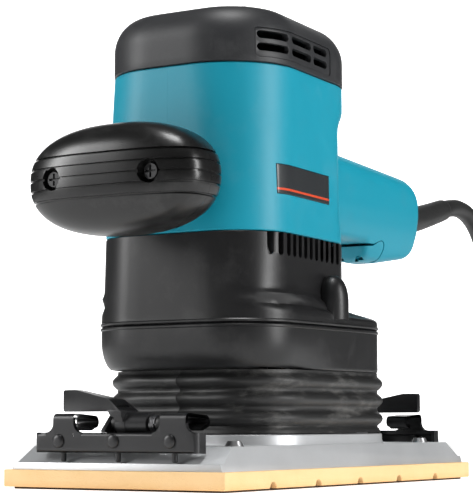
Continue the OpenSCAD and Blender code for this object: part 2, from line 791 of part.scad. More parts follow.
module plug_pins() {
    color("silver") for (s = [-1, 1]) translate([plug_x + s * 9.5, plug_y - 52, plug_z]) rotate([90, 0, 0])
        cylinder(d = 4.8, h = 19);
}

// ---------- Pad assembly ----------
module pad_facing() {
    color("#2b2320") block([-pad_w / 2 + facing_inset, pad_w / 2 - facing_inset],
        [-pad_l / 2 + facing_inset, pad_l / 2 - facing_inset], [0, facing_t]);
}

module sanding_pad() {
    pitch = pad_l / (groove_count + 1);
    color("#f3d3a4") difference() {
        block([-pad_w / 2, pad_w / 2], [-pad_l / 2, pad_l / 2], [facing_t, pad_top]);
        for (i = [1:groove_count]) translate([-pad_w, -pad_l / 2 + i * pitch, facing_t]) rotate([0, 90, 0])
            cylinder(d = groove_w, h = 2 * pad_w);
    }
}

pivot_y = pad_l / 2 - 10.5;      // distance of each clamp pivot from the middle
pivot_z = plate_z + 9.6;
ear_x = [-19.9, 3.2];            // ears on the plate that carry a clamp's pivot pin
cup_r = 21;

module base_plate() {
    hw = pad_w / 2 - plate_inset;
    hl = pad_l / 2 - plate_inset + 0.3;
    z0 = pad_top;
    slope_end = hl - ledge_l - bevel_l;
    color("#cfd1d2") difference() {
        union() {
            intersection() {
                along_y(-hl, hl) polygon([[-hw, z0], [hw, z0], [hw - 3, plate_z], [3 - hw, plate_z]]);
                along_x(-hw, hw) polygon([[-hl, z0], [hl, z0], [hl, lip_z], [hl - ledge_l, lip_z],
                    [slope_end, plate_z], [-slope_end, plate_z], [ledge_l - hl, lip_z], [-hl, lip_z]]);
            }
            slab(bellows_plan, 2, plate_z - 1, deck_z);
            on_axis() translate([0, -throw, deck_z - 1]) cylinder(r = cup_r, h = 16);
            for (t = [-1, 1], x = ear_x) at_end(t) translate([x, 0, 0]) along_x(-1.4, 1.4)
                union() {
                    translate([pivot_y, pivot_z]) circle(r = hub_r);
                    polygon([[pivot_y - 9, plate_z - 1], [pivot_y - 4, plate_z - 1], [pivot_y + 0.6, plate_z - 4],
                        [pivot_y + 0.8, pivot_z - 3], [pivot_y - 3, pivot_z + 2.2]]);
                }
        }
        on_axis() translate([0, -throw, deck_z + 4.4]) cylinder(r = 14 + press, h = 20);
        on_axis() translate([0, -throw, deck_z + 1]) cylinder(r = 10, h = 20);
        for (t = [-1, 1]) translate([-60, t * pivot_y, pivot_z]) rotate([0, 90, 0])
            cylinder(d = pivot_d + 2 * press, h = 120);
        for (p = plate_spots) translate([p[0], p[1], 0]) cylinder(r = 2 + fit, h = 100);
    }
}

module eccentric_bearing() {
    color("silver") on_axis() translate([0, -throw, deck_z + 4.4]) ball_bearing(14, pin_d / 2, 8);
}

module bearing_retainer() {
    color("dimgray") on_axis() translate([0, -throw, deck_z + 12.4 + fit]) difference() {
        cylinder(r = 14, h = 1.6);
        translate([0, 0, -1]) cylinder(r = 11, h = 4);
    }
}

plate_spots = [[-44, -86], [44, -86], [-44, 86], [44, 86]];
module plate_screws() {
    color("silver") for (p = plate_spots) translate([p[0], p[1], plate_z]) pan_screw(4, 2.2, 2, 9);
}

// ---------- Paper clamps; the rear one is drawn and the front one is the same, turned half round ----------
module at_end(end) {
    rotate(end > 0 ? 0 : 180) children();
}

bar_out = pad_l / 2 - 2;         // outer face of the bar
bar_low = pivot_z - 12.4;
bar_depth = 7;
sheet = 2;
rivet_x = 29;
tabs = [[-37, -24], [21, 32]];   // hooks that stand up from the bar
lug_x = [-22.7, 6];              // lugs of the bar on the pivot pin
lug_t = 2;
barrel_x = [-14.1, 1.6];         // ends of the lever's barrel
hub_r = 3.7;
barrel_r = 4.7;
tab_top = pivot_z + 4.4;
web_z = pivot_z + 5.6;           // lower edge of the lever's handle

module pivot_pin(end) {
    color("dimgray") at_end(end) translate([lug_x[0] - 1.5, pivot_y, pivot_z]) rotate([0, 90, 0])
        cylinder(d = pivot_d, h = lug_x[1] - lug_x[0] + 3);
}

module clamp_bar(end) {
    back = bar_out - bar_depth;
    color("#242424") at_end(end) difference() {
        union() {
            // formed channel: outer web with a lower and an upper flange
            along_x(-bar_l / 2, bar_l / 2) difference() {
                polygon([[back, bar_low], [bar_out - 2, bar_low], [bar_out, bar_low + 2], [bar_out, bar_low + bar_h],
                    [back + 2, bar_low + bar_h], [back + 2, bar_low + 5], [back, bar_low + 5]]);
                polygon([[back - 1, bar_low + sheet], [bar_out - sheet, bar_low + sheet],
                    [bar_out - sheet, bar_low + bar_h - sheet], [back - 1, bar_low + bar_h - sheet]]);
            }
            for (tab = tabs) along_x(tab[0], tab[1]) polygon([
                [bar_out - sheet, bar_low + 2], [bar_out, bar_low + 2], [bar_out, tab_top - 2], [bar_out - 2, tab_top],
                [bar_out - 16, tab_top - 1], [bar_out - 18.3, tab_top - 3.5], [bar_out - 17.3, tab_top - 5.4],
                [bar_out - 13.3, tab_top - 7], [bar_out - 12.5, tab_top - 5.4], [bar_out - 16, tab_top - 3.9],
                [bar_out - 15.4, tab_top - 2.7], [bar_out - sheet, tab_top - 1.8]]);
            for (x = lug_x) along_x(x - lug_t / 2, x + lug_t / 2) {
                translate([pivot_y, pivot_z]) circle(r = hub_r);
                polygon([[pivot_y, pivot_z + hub_r], [pivot_y + 3, pivot_z + 3], [bar_out, bar_low + bar_h - 0.5],
                    [bar_out - 3, bar_low + bar_h - 1.5], [pivot_y + 1, pivot_z - 3.4]]);
            }
        }
        translate([-60, pivot_y, pivot_z]) rotate([0, 90, 0]) cylinder(d = pivot_d + 2 * run, h = 120);
        for (x = [-rivet_x, 0, rivet_x]) translate([x, bar_out - 10, bar_low + 5]) rotate([-90, 0, 0])
            cylinder(r = 1.5 + press, h = 20);
    }
}

module bar_rivets(end) {
    color("#303030") at_end(end) for (x = [-rivet_x, 0, rivet_x]) {
        translate([x, bar_out - 4, bar_low + 5]) rotate([-90, 0, 0]) cylinder(r = 1.5, h = 4 + eps);
        translate([x, bar_out, bar_low + 5]) rotate([-90, 0, 0]) cylinder(r1 = 3, r2 = 2.2, h = 1.2);
        translate([x - 1.5, bar_out - 1.9, lip_z + gap]) cylinder(r = 1.2, h = bar_low - lip_z - gap - eps);
    }
}

// Barrel on the pivot pin, an arm over it, and a wedge-shaped handle that reaches to the side
module lever(end) {
    far = lever_reach;
    top = web_z + lever_h;
    color("#1d1d1d") at_end(end) difference() {
        union() {
            intersection() {
                along_y(pivot_y - 20, bar_out) polygon([[-2.6, web_z - 0.4], [far, web_z - 0.4], [far, top], [far - 9, top],
                    [5.3, top - 4.6]]);
                translate([0, 0, web_z - 5]) linear_extrude(30) polygon([[-2.6, bar_out - 1.5], [-2.6, pivot_y - 7],
                    [far, pivot_y - 12], [far, pivot_y - 9]]);
            }
            along_x(-2.6, barrel_x[1]) polygon([[pivot_y - 5, web_z], [pivot_y - 4, pivot_z], [pivot_y + 4.6, pivot_z],
                [pivot_y + 6.2, pivot_z + 3], [pivot_y + 6.8, web_z]]);
            translate([barrel_x[0], pivot_y, pivot_z]) rotate([0, 90, 0])
                cylinder(r = barrel_r, h = barrel_x[1] - barrel_x[0]);
        }
        translate([-30, pivot_y, pivot_z]) rotate([0, 90, 0]) cylinder(d = pivot_d + 2 * run, h = 60);
    }
}

module lever_spring(end) {
    color("silver") at_end(end) translate([barrel_x[0] - 4.1, pivot_y, pivot_z]) rotate([0, 90, 0]) difference() {
        cylinder(r = hub_r, h = 4);
        translate([0, 0, -1]) cylinder(d = pivot_d + 2 * run, h = 20);
    }
}

module front_pivot_pin() { pivot_pin(-1); }
module rear_pivot_pin() { pivot_pin(1); }
module front_lever_spring() { lever_spring(-1); }
module rear_lever_spring() { lever_spring(1); }
module front_lever() { lever(-1); }
module rear_lever() { lever(1); }
module front_clamp_bar() { clamp_bar(-1); }
module rear_clamp_bar() { clamp_bar(1); }
module front_bar_rivets() { bar_rivets(-1); }
module rear_bar_rivets() { bar_rivets(1); }

housing_right();
housing_left();
housing_screws();
top_cover();
vent_panel_right();
vent_panel_left();
cover_screws();
badge_plate();
fan_housing();
skirt_ring();
ring_screws();
bearing_plate();
bellows();
support_legs();
leg_screws();
grip_front_shell();
grip_rear_shell();
grip_screws();
stator_core();
field_windings();
upper_bearing();
lower_bearing();
brush_holders();
carbon_brushes();
switch_body();
trigger_pin();
trigger();
lock_button();
cord_guard();
cord_clamp();
clamp_screws();
motor_shaft();
armature_core();
armature_windings();
commutator();
cooling_fan();
counterweight();
base_plate();
eccentric_bearing();
bearing_retainer();
sanding_pad();
pad_facing();
plate_screws();
front_pivot_pin();
rear_pivot_pin();
front_lever_spring();
rear_lever_spring();
front_lever();
rear_lever();
front_clamp_bar();
rear_clamp_bar();
front_bar_rivets();
rear_bar_rivets();
power_cord();
cord_coil();
cord_tie();
plug_body();
plug_pins();
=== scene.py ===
import bpy
import bmesh
import json
import math
from math import sin, cos, pi, radians
from mathutils import Vector, Matrix


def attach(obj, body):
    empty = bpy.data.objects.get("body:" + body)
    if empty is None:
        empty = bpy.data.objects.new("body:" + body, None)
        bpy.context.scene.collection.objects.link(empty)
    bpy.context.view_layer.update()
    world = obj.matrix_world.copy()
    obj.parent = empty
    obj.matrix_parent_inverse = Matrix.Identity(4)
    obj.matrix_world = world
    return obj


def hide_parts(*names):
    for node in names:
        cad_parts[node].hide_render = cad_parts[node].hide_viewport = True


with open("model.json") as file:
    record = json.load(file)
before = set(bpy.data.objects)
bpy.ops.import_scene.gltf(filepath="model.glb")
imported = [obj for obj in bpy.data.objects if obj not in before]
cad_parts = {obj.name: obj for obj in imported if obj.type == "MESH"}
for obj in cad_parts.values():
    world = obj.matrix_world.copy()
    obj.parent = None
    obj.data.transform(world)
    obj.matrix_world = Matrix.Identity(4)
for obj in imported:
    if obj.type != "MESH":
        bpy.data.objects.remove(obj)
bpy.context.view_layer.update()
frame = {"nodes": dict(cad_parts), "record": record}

mm = 0.001


# Camera
print("camera")
view = dict(place=(0.465775, -0.747050, 0.028722), azimuth=32.464, pitch=5.318, roll=-0.09, lens=133.2,
            sensor=36.0)


def makeCamera():
    data = bpy.data.cameras.new("camera")
    data.lens = view["lens"]
    data.sensor_width = view["sensor"]
    data.sensor_fit = "AUTO"
    data.clip_start = 0.01
    data.clip_end = 20
    cam = bpy.data.objects.new("camera", data)
    bpy.context.scene.collection.objects.link(cam)
    swing = Matrix.Rotation(radians(view["azimuth"]), 4, "Z")
    tilt = Matrix.Rotation(radians(90 + view["pitch"]), 4, "X")
    turn = swing @ tilt @ Matrix.Rotation(radians(view["roll"]), 4, "Z")
    cam.matrix_world = Matrix.Translation(view["place"]) @ turn
    bpy.context.scene.camera = cam


makeCamera()


# Mesh helpers
def newObject(name, mesh):
    obj = bpy.data.objects.new(name, mesh)
    bpy.context.scene.collection.objects.link(obj)
    return obj


def meshObject(name, points, faces):
    mesh = bpy.data.meshes.new(name)
    mesh.from_pydata([Vector(p) * mm for p in points], [], faces)
    mesh.validate()
    obj = newObject(name, mesh)
    bm = bmesh.new()
    bm.from_mesh(mesh)
    bmesh.ops.recalc_face_normals(bm, faces=bm.faces)
    bm.to_mesh(mesh)
    bm.free()
    return obj


def arcPoints(cx, cy, r, a0, a1, n):
    return [(cx + r * cos(radians(a0 + (a1 - a0) * i / n)), cy + r * sin(radians(a0 + (a1 - a0) * i / n)))
            for i in range(n + 1)]


def planPoints(plan, grow=0.0, n=10):  # a rounded outline seen from above, as in the design
    hf, rf, yf, hr, rr, yr = plan
    front, rear, steps = yf - grow, yr + grow, [-0.7, -0.35, -0.04, -0.02, 0, 0.02, 0.04, 0.35, 0.7]
    right = ((hr + grow, yr - rr), (hf + grow, yf + rf))
    left = ((-hf - grow, yf + rf), (-hr - grow, yr - rr))
    side = []
    for (ax, ay), (bx, by) in (right, left):
        side.append([(ax + (bx - ax) * k / 8, ay + (by - ay) * k / 8) for k in range(1, 8)])
    return (arcPoints(rr - hr, yr - rr, rr + grow, 180, 90, n) + [(t * (hr - rr), rear) for t in steps]
            + arcPoints(hr - rr, yr - rr, rr + grow, 90, 0, n) + side[0]
            + arcPoints(hf - rf, yf + rf, rf + grow, 0, -90, n) + [(-t * (hf - rf), front) for t in steps]
            + arcPoints(rf - hf, yf + rf, rf + grow, -90, -180, n) + side[1])


def loft(name, rings, closed=False):  # rings of points with equal counts; the ends are capped
    count = len(rings[0])
    points = [p for ring in rings for p in ring]
    faces = []
    for i in range(len(rings) - (0 if closed else 1)):
        a, b = i * count, (i + 1) % len(rings) * count
        faces += [(a + k, a + (k + 1) % count, b + (k + 1) % count, b + k) for k in range(count)]
    if not closed:
        faces += [tuple(range(count)), tuple(range(len(points) - count, len(points)))[::-1]]
    return meshObject(name, points, faces)


def prism(name, outline, axis, low, high):  # an outline pushed along one axis
    put = {"x": lambda a, b, t: (t, a, b),
           "y": lambda a, b, t: (a, t, b),
           "z": lambda a, b, t: (a, b, t)}[axis]
    return loft(name, [[put(a, b, t) for a, b in outline] for t in (low, high)])


def box(name, x, y, z):
    return prism(name, [(x[0], y[0]), (x[1], y[0]), (x[1], y[1]), (x[0], y[1])], "z", *z)


def rod(name, centre, radius, axis, low, high, n=32):
    a, b = centre
    circle = [(a + radius * cos(2 * pi * k / n), b + radius * sin(2 * pi * k / n)) for k in range(n)]
    return prism(name, circle, axis, low, high)


def lathe(name, profile, place, aim=(0, 0, 1), n=40):  # profile: (radius, height), spun about aim
    turn = Vector((0, 0, 1)).rotation_difference(Vector(aim)).to_matrix()
    rings = [[tuple(turn @ Vector((r * cos(2 * pi * k / n), r * sin(2 * pi * k / n), h)) + Vector(place))
              for k in range(n)] for r, h in profile]
    return loft(name, rings)


def applyAll(obj):
    graph = bpy.context.evaluated_depsgraph_get()
    fresh = bpy.data.meshes.new_from_object(obj.evaluated_get(graph))
    old = obj.data
    obj.modifiers.clear()
    obj.data = fresh
    bpy.data.meshes.remove(old)
    return obj


def combine(obj, tools, operation="DIFFERENCE", keep=False):
    for tool in tools:
        mod = obj.modifiers.new("cut", "BOOLEAN")
        mod.operation = operation
        mod.solver = "EXACT"
        mod.object = tool
    applyAll(obj)
    if not keep:
        for tool in tools:
            bpy.data.objects.remove(tool)
    return obj


def join(name, parts):
    bm = bmesh.new()
    for part in parts:
        part.data.transform(part.matrix_world)
        bm.from_mesh(part.data)
        bpy.data.objects.remove(part)
    mesh = bpy.data.meshes.new(name)
    bm.to_mesh(mesh)
    bm.free()
    return newObject(name, mesh)


def soften(obj, width=0.6, segments=2, angle=35):
    mod = obj.modifiers.new("bevel", "BEVEL")
    mod.width = width * mm
    mod.segments = segments
    mod.limit_method = "ANGLE"
    mod.angle_limit = radians(angle)
    mod.harden_normals = False
    mod.use_clamp_overlap = True
    return applyAll(obj)


def smooth(obj, angle=40):
    bm = bmesh.new()
    bm.from_mesh(obj.data)
    bmesh.ops.remove_doubles(bm, verts=bm.verts, dist=0.004 * mm)
    bmesh.ops.dissolve_degenerate(bm, edges=bm.edges, dist=0.004 * mm)
    for face in bm.faces:
        face.smooth = True
    for edge in bm.edges:
        edge.smooth = edge.calc_face_angle(0.0) < radians(angle)
    bm.to_mesh(obj.data)
    bm.free()
    return obj


def halfTurn(name, obj):  # the same piece at the other end
    copy = newObject(name, obj.data.copy())
    copy.data.transform(Matrix.Rotation(pi, 4, "Z"))
    return copy


def place(obj, body, material, slot, nodes=(), angle=40):
    smooth(obj, angle)
    obj.data.materials.clear()
    obj.data.materials.append(material)
    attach(obj, body)
    if nodes:
        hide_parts(*nodes)
    return obj


# Shader helpers
class Tone:  # a socket that takes part in Python arithmetic
    def __init__(self, maker, socket):
        self.maker, self.socket = maker, socket

    def math(self, kind, first, second=0.0):
        return self.maker.node("ShaderNodeMath", dict(operation=kind), [first, second])

    def __add__(self, other):
        return self.math("ADD", self, other)

    def __sub__(self, other):
        return self.math("SUBTRACT", self, other)

    def __mul__(self, other):
        return self.math("MULTIPLY", self, other)

    def __rsub__(self, other):
        return self.math("SUBTRACT", other, self)

    __radd__ = __add__
    __rmul__ = __mul__


class Finish:  # one material and the nodes in it
    def __init__(self, name, **constants):
        self.material = bpy.data.materials.new(name)
        self.material.use_nodes = True
        self.tree = self.material.node_tree
        self.shader = self.tree.nodes["Principled BSDF"]
        for key, value in constants.items():
            self.shader.inputs[key.replace("_", " ")].default_value = value
        self.spot = self.node("ShaderNodeTexCoord", {}, {}, "Object")

    def node(self, kind, settings, values, output=0):
        made = self.tree.nodes.new(kind)
        for key, value in settings.items():
            if key == "stops":
                ramp = made.color_ramp
                while len(ramp.elements) < len(value):
                    ramp.elements.new(0.5)
                for element, (at, colour) in zip(ramp.elements, value):
                    element.position = at
                    element.color = colour if len(colour) == 4 else (*colour, 1)
            else:
                setattr(made, key, value)
        pairs = values.items() if isinstance(values, dict) else enumerate(values)
        for key, value in pairs:
            if isinstance(value, Tone):
                self.tree.links.new(value.socket, made.inputs[key])
            else:
                made.inputs[key].default_value = value
        return Tone(self, made.outputs[output])

    def feed(self, name, tone):
        self.tree.links.new(tone.socket, self.shader.inputs[name])

    def noise(self, scale, detail=3.0, rough=0.55, stretch=(1, 1, 1)):
        at = self.node("ShaderNodeMapping", {}, {"Vector": self.spot, "Scale": stretch})
        return self.node("ShaderNodeTexNoise", {}, {"Vector": at, "Scale": scale, "Detail": detail,
                                                    "Roughness": rough}, "Fac")

    def ramp(self, tone, stops):
        return self.node("ShaderNodeValToRGB", dict(stops=stops), [tone])

    def grey(self, tone, low, high):  # a number spread over a range
        return self.node("ShaderNodeMapRange", {}, {"Value": tone, "From Min": low, "From Max": high})

    def blend(self, factor, first, second):
        return self.node("ShaderNodeMix", dict(data_type="RGBA"), {0: factor, 6: first, 7: second}, 2)

    def bump(self, height, strength, distance, normal=None):
        values = {"Height": height, "Strength": strength, "Distance": distance * mm}
        if normal:
            values["Normal"] = normal
        return self.node("ShaderNodeBump", {}, values, "Normal")


def rgb(red, green, blue):
    return (red, green, blue, 1)


# Finishes
print("finishes")


def plasticFinish(name, dark, light, rough=0.42, grain=2200, depth=0.05, scuff=0.06):
    f = Finish(name, Specular_IOR_Level=0.36)
    cloud = f.noise(14, 4)
    fine = f.noise(grain, 2)
    wear = f.ramp(f.noise(60, 6, 0.7), [(0.52, (0, 0, 0)), (0.8, (1, 1, 1))])
    body = f.blend(cloud, dark, light)
    f.feed("Base Color", f.blend(wear * scuff, body, rgb(0.55, 0.55, 0.55)))
    f.feed("Roughness", rough + cloud * 0.08 + wear * 0.1 + fine * 0.06)
    f.feed("Normal", f.bump(fine, 0.35, depth))
    return f.material


def metalFinish(name, dark, light, rough, scale=240, stretch=(1, 1, 1), depth=0.02, metallic=1.0,
                shadeHeight=None):
    f = Finish(name, Metallic=metallic)
    brushed = f.noise(scale, 5, 0.65, stretch)
    stain = f.noise(30, 4, 0.6)
    colour = f.blend(stain, dark, light)
    if shadeHeight:  # painted shade: black above this height, in metres, on the plate's parts under the levers and inside the bellows
        height = f.node("ShaderNodeSeparateXYZ", {}, [f.spot], "Z")
        above = f.node("ShaderNodeMath", dict(operation="GREATER_THAN"), [height, shadeHeight])
        colour = f.blend(above, colour, rgb(0.012, 0.012, 0.012))
    f.feed("Base Color", colour)
    f.feed("Roughness", rough + brushed * 0.12 + stain * 0.1)
    f.feed("Normal", f.bump(brushed, 0.4, depth))
    return f.material


def foamFinish():
    f = Finish("padFoam", Specular_IOR_Level=0.25)
    pores = f.node("ShaderNodeTexVoronoi", dict(feature="F1"), {"Vector": f.spot, "Scale": 1500},
                   "Distance")
    cloud = f.noise(45, 5, 0.6)
    height = f.node("ShaderNodeSeparateXYZ", {}, [f.spot], "Z")
    # painted shade: the foam is darker and more orange towards its bottom edge, next to the facing sheet and
    # the floor
    lowShade = f.ramp(f.grey(height + cloud * 0.0012, 0.0009, 0.0046),
                  [(0.0, (1, 1, 1)), (0.55, (0.35, 0.35, 0.35)), (1.0, (0, 0, 0))])
    body = f.blend(cloud, rgb(0.76, 0.49, 0.23), rgb(0.84, 0.60, 0.33))
    f.feed("Base Color", f.blend(lowShade * 0.35, body, rgb(0.62, 0.27, 0.06)))
    f.feed("Roughness", 0.82 + cloud * 0.12)
    f.feed("Normal", f.bump(pores, 0.5, 0.25))
    return f.material


def rubberFinish(name, dust=0.0):
    f = Finish(name, Specular_IOR_Level=0.4)
    cloud = f.noise(30, 5, 0.65)
    fine = f.noise(900, 3)
    streak = f.ramp(f.noise(26, 8, 0.75, (1, 1, 3)), [(0.5, (0, 0, 0)), (0.72, (1, 1, 1))])
    body = f.blend(cloud, rgb(0.006, 0.006, 0.006), rgb(0.02, 0.02, 0.02))
    f.feed("Base Color", f.blend(streak * dust, body, rgb(0.42, 0.41, 0.39)))
    f.feed("Roughness", 0.42 + cloud * 0.14 + streak * 0.15)
    f.feed("Normal", f.bump(fine, 0.4, 0.06))
    return f.material


def badgeFinish():
    f = Finish("badgeFoil")
    height = f.node("ShaderNodeSeparateXYZ", {}, [f.spot], "Z")
    low = f.node("ShaderNodeMath", dict(operation="GREATER_THAN"), [height, 0.1312])
    high = f.node("ShaderNodeMath", dict(operation="LESS_THAN"), [height, 0.1322])
    fine = f.noise(1400, 2)
    cloud = f.noise(40, 3)
    dark = f.blend(cloud, rgb(0.012, 0.014, 0.016), rgb(0.025, 0.028, 0.03))
    f.feed("Base Color", f.blend(low * high, dark, rgb(0.55, 0.06, 0.02)))
    f.feed("Roughness", 0.28 + fine * 0.08 + cloud * 0.06)
    f.feed("Normal", f.bump(fine, 0.25, 0.02))
    return f.material


castLook = (rgb(0.46, 0.47, 0.48), rgb(0.6, 0.61, 0.62), 0.34, 700, (1, 1, 1), 0.08, 0.55)
finishes = dict(
    teal_plastic=plasticFinish("tealPlastic", rgb(0.0, 0.215, 0.3), rgb(0.004, 0.25, 0.345), 0.4, 2600,
                               0.03, 0.03),
    grey_plastic=plasticFinish("greyPlastic", rgb(0.013, 0.0135, 0.015), rgb(0.024, 0.025, 0.027), 0.4,
                               1500, 0.1, 0.03),
    black_plastic=plasticFinish("blackPlastic", rgb(0.004, 0.004, 0.0045), rgb(0.009, 0.009, 0.0095), 0.3,
                                1700, 0.08, 0.025),
    grip_black=plasticFinish("gripBlack", rgb(0.004, 0.004, 0.004), rgb(0.008, 0.008, 0.008), 0.22, 1300,
                             0.035, 0.04),
    bellows_rubber=rubberFinish("bellowsRubber", 0.3),
    black_rubber=rubberFinish("blackRubber"),
    cast_plate=metalFinish("castPlate", *castLook),
    # the base plate: cast look, with painted shade above 23.6 mm
    plate_shaded_top=metalFinish("plateShadedTop", *castLook, 0.0236),
    pad_foam=foamFinish(),
    facing_dark=plasticFinish("facingDark", rgb(0.02, 0.012, 0.008), rgb(0.05, 0.032, 0.02), 0.75, 900, 0.2,
                              0.1),
    black_steel=metalFinish("blackSteel", rgb(0.010, 0.010, 0.011), rgb(0.02, 0.02, 0.021), 0.26, 600,
                            (1, 1, 1), 0.03, 0.35),
    bright_steel=metalFinish("brightSteel", rgb(0.55, 0.55, 0.56), rgb(0.72, 0.72, 0.73), 0.2, 500),
    dark_steel=metalFinish("darkSteel", rgb(0.10, 0.10, 0.105), rgb(0.2, 0.2, 0.205), 0.28, 500),
    core_iron=metalFinish("coreIron", rgb(0.13, 0.13, 0.14), rgb(0.24, 0.24, 0.25), 0.4, 400, (1, 1, 60)),
    copper_wire=metalFinish("copperWire", rgb(0.5, 0.17, 0.06), rgb(0.75, 0.3, 0.12), 0.3, 900, (1, 1, 8),
                            0.2),
    brass=metalFinish("brass", rgb(0.55, 0.38, 0.13), rgb(0.75, 0.55, 0.22), 0.25, 500),
    carbon=plasticFinish("carbon", rgb(0.006, 0.006, 0.006), rgb(0.02, 0.02, 0.02), 0.6, 1200, 0.1, 0.1),
    fan_nylon=plasticFinish("fanNylon", rgb(0.6, 0.56, 0.47), rgb(0.75, 0.72, 0.63), 0.45, 900, 0.05, 0.05),
    badge=badgeFinish(),
)


# Power cord
print("cord")
cordKit = dict(diameter=10.0, coilCentre=(47.5, 316.0), inner=47.5, outer=57.5, layers=(26.0, 16.0, 6.0),
               perTurn=32)
cordLead = [(0, 204, 149.3), (0, 214, 151.4), (0, 224, 152.2), (0, 234, 150.8), (0, 243, 147.2),
            (0, 251, 141.6), (0, 257.4, 134.2), (0, 261.8, 125.4), (0, 264, 115.8), (0, 264.4, 106),
            (0, 264.4, 94), (0, 264.4, 82), (0, 265.2, 72), (0, 268, 61.4), (0, 273, 51.2), (0, 280, 42.2),
            (0, 288.4, 34.8), (0, 298, 29.4), (0, 308, 26.6)]
cordTail = [(105, 304, 6.8), (105, 292, 9.4), (105, 280, 13.4), (105, 269, 17), (105, 258, 19),
            (105, 250, 19.4)]


def coilPoints():  # five turns and a half, wound from above, starting at the point nearest the tool
    cx, cy = cordKit["coilCentre"]
    ri, ro = cordKit["inner"], cordKit["outer"]
    top, middle, low = cordKit["layers"]
    stops = [(ri, top), (ro, top), (ro, middle), (ri, middle), (ri, low), (ro, low)]
    n = cordKit["perTurn"]
    points = []
    for turn, (r, z) in enumerate(stops):
        last = turn == len(stops) - 1
        nextStop = stops[min(turn + 1, len(stops) - 1)]
        for k in range(n // 2 + 1 if last else n):
            t = min(max((k / n - 0.62) / 0.38, 0), 1)
            t = t * t * (3 - 2 * t)
            a = pi - 2 * pi * k / n
            rr = r + (nextStop[0] - r) * t
            points.append((cx + rr * cos(a), cy + rr * sin(a), z + (nextStop[1] - z) * t))
    return points


def smoothLine(points, steps=4):  # Catmull-Rom through the points
    ps = [Vector(p) for p in points]
    ps = [2 * ps[0] - ps[1]] + ps + [2 * ps[-1] - ps[-2]]
    out = []
    for i in range(1, len(ps) - 2):
        a, b, c, d = ps[i - 1:i + 3]
        for k in range(steps):
            t = k / steps
            out.append(0.5 * (2 * b + (c - a) * t + (2 * a - 5 * b + 4 * c - d) * t * t
                              + (3 * b - a - 3 * c + d) * t ** 3))
    return out + [ps[-2]]


def makeCord():
    line = smoothLine(cordLead + coilPoints() + cordTail)
    data = bpy.data.curves.new("power_cord_lead", "CURVE")
    data.dimensions = "3D"
    data.bevel_depth = cordKit["diameter"] / 2 * mm
    data.bevel_resolution = 5
    data.use_fill_caps = True
    spline = data.splines.new("POLY")
    spline.points.add(len(line) - 1)
    for point, at in zip(spline.points, line):
        point.co = (*(at * mm), 1)
    obj = newObject("power_cord_lead", data)
    data.materials.append(finishes["black_rubber"])
    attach(obj, "tool_body")
    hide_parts("power_cord", "cord_coil")
    length = sum((b - a).length for a, b in zip(line, line[1:])) * mm
    print("cord length", round(length, 4))
    return obj, length


cordObject, cordLength = makeCord()


def makeGuard():
    kit = dict(route=[(0, 137, 138.5), (0, 144, 138.5), (0, 156, 139), (0, 168, 140.7), (0, 180, 143.3),
                      (0, 192, 146.2), (0, 203, 149.04), (0, 204, 149.3)],
               radii=[7.5, 7.6, 7.3, 7.0, 6.7, 6.4, 6.15, 5.7], sides=28)
    line = smoothLine(kit["route"], 4)
    rings = []
    for i, p in enumerate(line):
        along = (line[min(i + 1, len(line) - 1)] - line[max(i - 1, 0)]).normalized()
        up = Vector((1, 0, 0)).cross(along)
        k = i / 4
        low = min(int(k), len(kit["radii"]) - 2)
        r = kit["radii"][low] + (kit["radii"][low + 1] - kit["radii"][low]) * (k - low)
        r += 0.55 * max(0, 1 - abs(p.y - 146.5) / 2.2)  # collar where it meets the handle
        rings.append([tuple(p + r * (cos(2 * pi * j / kit["sides"]) * Vector((1, 0, 0))
                                     + sin(2 * pi * j / kit["sides"]) * up))
                      for j in range(kit["sides"])])
    obj = loft("cord_guard_sleeve", rings)
    flange = lathe("flange", [(9.3, 0), (9.5, 0.3), (9.5, 2.7), (9.3, 3), (5.4, 3.05), (5.4, 12),
                              (5.0, 12.4)], (0, 136, 138.5), (0, -1, 0))
    obj = join("cord_guard_sleeve", [obj, flange])
    place(obj, "tool_body", finishes["black_rubber"], "black_rubber", ["cord_guard"], 50)


def makePlug():
    kit = dict(x=105, y=250, z=19.4, body=18.5)
    relief = [(5.6, 0), (6.9, 0.6), (7.0, 3), (6.1, 3.6), (6.1, 5), (7.3, 5.6), (7.6, 8), (6.6, 8.6),
              (6.6, 10), (7.9, 10.6), (8.3, 13), (7.3, 13.6), (7.3, 15), (8.7, 15.6), (9.0, 17.6)]
    body = [(12.5, 18.3), (15.4, 19.6), (17.4, 22), (18.3, 25.5), (18.5, 29), (18.2, 32), (17.7, 35),
            (17.7, 38), (18.2, 41), (18.5, 44), (18.5, 50.6), (18.1, 51.6), (17.2, 52)]
    obj = lathe("plug_shell", relief + body, (kit["x"], kit["y"], kit["z"]), (0, -1, 0), 56)
    for s in (-1, 1):
        cut = box("cut", sorted((kit["x"] + s * 15.8, kit["x"] + s * 24)), (kit["y"] - 46, kit["y"] - 30),
                  (0, 40))
        combine(obj, [cut])
    soften(obj, 0.4, 2, 35)
    place(obj, "tool_body", finishes["black_plastic"], "black_plastic", ["plug_body"], 35)
    pins = [lathe("pin", [(2.4, -1), (2.4, 7), (2.25, 7.2), (2.25, 16.8), (2.0, 18.2), (1.3, 19)],
                  (kit["x"] + s * 9.5, kit["y"] - 52, kit["z"]), (0, -1, 0), 28) for s in (-1, 1)]
    pins = join("plug_prongs", pins)
    place(pins, "tool_body", finishes["bright_steel"], "bright_steel", ["plug_pins"], 35)
    return obj, pins


